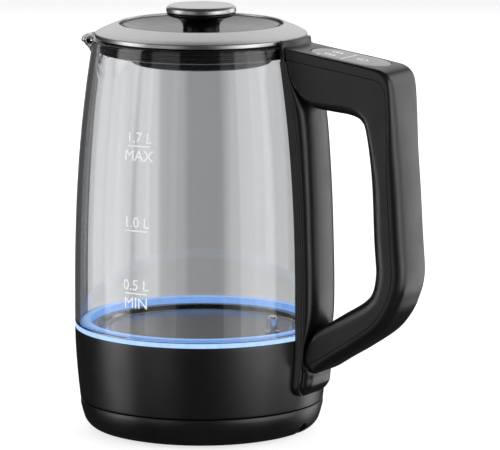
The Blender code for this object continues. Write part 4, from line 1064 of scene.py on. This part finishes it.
def surround():
    """A plain surround: white to the camera, dark in reflections and grey through the glass."""
    world = bpy.data.worlds.new("studio")
    bpy.context.scene.world = world
    world.use_nodes = True
    tree = world.node_tree
    back = tree.nodes["Background"]
    back.inputs["Color"].default_value = (1, 1, 1, 1)
    path = tree.nodes.new("ShaderNodeLightPath")
    strengths = {"Glossy": GLOSSY_SURROUND, "Transmission": SURROUND_THROUGH_GLASS, "Camera": 1.0}
    level = None
    for ray, strength in strengths.items():
        mix = tree.nodes.new("ShaderNodeMix")
        mix.inputs["A"].default_value = DIFFUSE_SURROUND
        mix.inputs["B"].default_value = strength
        tree.links.new(path.outputs[f"Is {ray} Ray"], mix.inputs["Factor"])
        if level:
            tree.links.new(level, mix.inputs["A"])
        level = mix.outputs["Result"]
    tree.links.new(level, back.inputs["Strength"])


def softbox(name, turn, distance, height, width, tall, radiance):
    """A box light facing the kettle, turned anticlockwise in degrees from the camera's side."""
    light = bpy.data.lights.new(name, "AREA")
    light.shape = "RECTANGLE"
    light.size, light.size_y = width, tall
    light.energy = radiance * math.pi * width * tall
    obj = new_object(name, light)
    a = math.radians(CAMERA_SIDE + turn)
    obj.location = (AXIS + distance * math.cos(a), distance * math.sin(a), height)
    to_kettle = Vector((AXIS, 0, 0.13)) - obj.location
    obj.rotation_euler = to_kettle.to_track_quat("-Z", "Y").to_euler()


CARD_DISTANCE = 0.35  # metres from the axis
CARD_LEFT, CARD_RIGHT = -125.0, 96.0  # the card's sides, seen by the camera
CARD_PAINTED_LIGHT_SHADE = (  # distance across the card, grey level of the painted light and shade
    (-124, 1.05), (-92, 0.92), (-70, 0.8), (-60, 0.66), (-51, 0.84), (-38, 0.88), (-34, 0.62),
    (-27, 0.56), (-17, 0.56), (-13, 0.43), (8, 0.42), (13, 0.46), (19, 0.66), (28, 0.7), (36, 0.76),
    (50, 0.7),
)


def through_glass_light_card():
    """A card seen through the glass and in no other way: its bands of grey across its width are painted
    light and shade.
    """
    behind, rightwards = math.radians(CAMERA_SIDE + 180), math.radians(CAMERA_SIDE + 90)
    right = np.array([math.cos(rightwards), math.sin(rightwards)])
    back = np.array([AXIS, 0]) + CARD_DISTANCE * np.array([math.cos(behind), math.sin(behind)])
    ends = [back + side * MM * right for side in (CARD_LEFT, CARD_RIGHT)]
    corners = [(*ends[0], -0.3), (*ends[1], -0.3), (*ends[1], 0.5), (*ends[0], 0.5)]
    mesh = bpy.data.meshes.new("through_glass_light_card")
    mesh.from_pydata([tuple(map(float, c)) for c in corners], [], [(0, 1, 2, 3)])
    card = new_object("through_glass_light_card", mesh)
    for kind in ("camera", "diffuse", "glossy", "shadow"):
        setattr(card, f"visible_{kind}", False)
    n = Nodes("painted_light_shade_bands")
    across = n.add("ShaderNodeVectorMath", operation="DOT_PRODUCT")
    across.inputs[1].default_value = (right[0], right[1], 0)
    n.join(n.coords, across.inputs[0])
    start = float(ends[0] @ right)
    share = n.range(across.outputs["Value"], 0, 1, start, start + (CARD_RIGHT - CARD_LEFT) * MM)
    stops = [((side - CARD_LEFT) / (CARD_RIGHT - CARD_LEFT), (level,) * 3) for side, level in CARD_PAINTED_LIGHT_SHADE]
    # The card's emission is painted light and shade, seen only through the glass.
    n.feed("Emission Color", n.ramp(share, stops))
    n.set(Base_Color=(0, 0, 0, 1), Roughness=1, Specular_IOR_Level=0, Emission_Strength=1)
    mesh.materials.append(n.material)


def camera():
    """A long lens 2.6 m away, on the -Y side and turned 30 degrees towards the handle."""
    lens = bpy.data.cameras.new("camera")
    lens.lens = 324.8
    lens.sensor_width = 36.0
    lens.clip_end = 50
    obj = new_object("camera", lens)
    place = Vector((AXIS + 1.3245, -2.2375, 0.564))
    aim = Vector((AXIS + 0.0245, 0.01415, 0.1197))
    obj.location = place
    obj.rotation_euler = (aim - place).to_track_quat("-Z", "Y").to_euler()
    bpy.context.scene.camera = obj


camera()
studio_floor()
surround()
for light in LIGHTS:
    softbox(*light)
through_glass_light_card()
power_base()
housing()
plate_and_probe()
glass_wall()
litre_marks()
spine()
handle()
collar()
touch_panel()
lid()
knob()
dress_kept_nodes()
bpy.context.scene.view_settings.view_transform = "Standard"
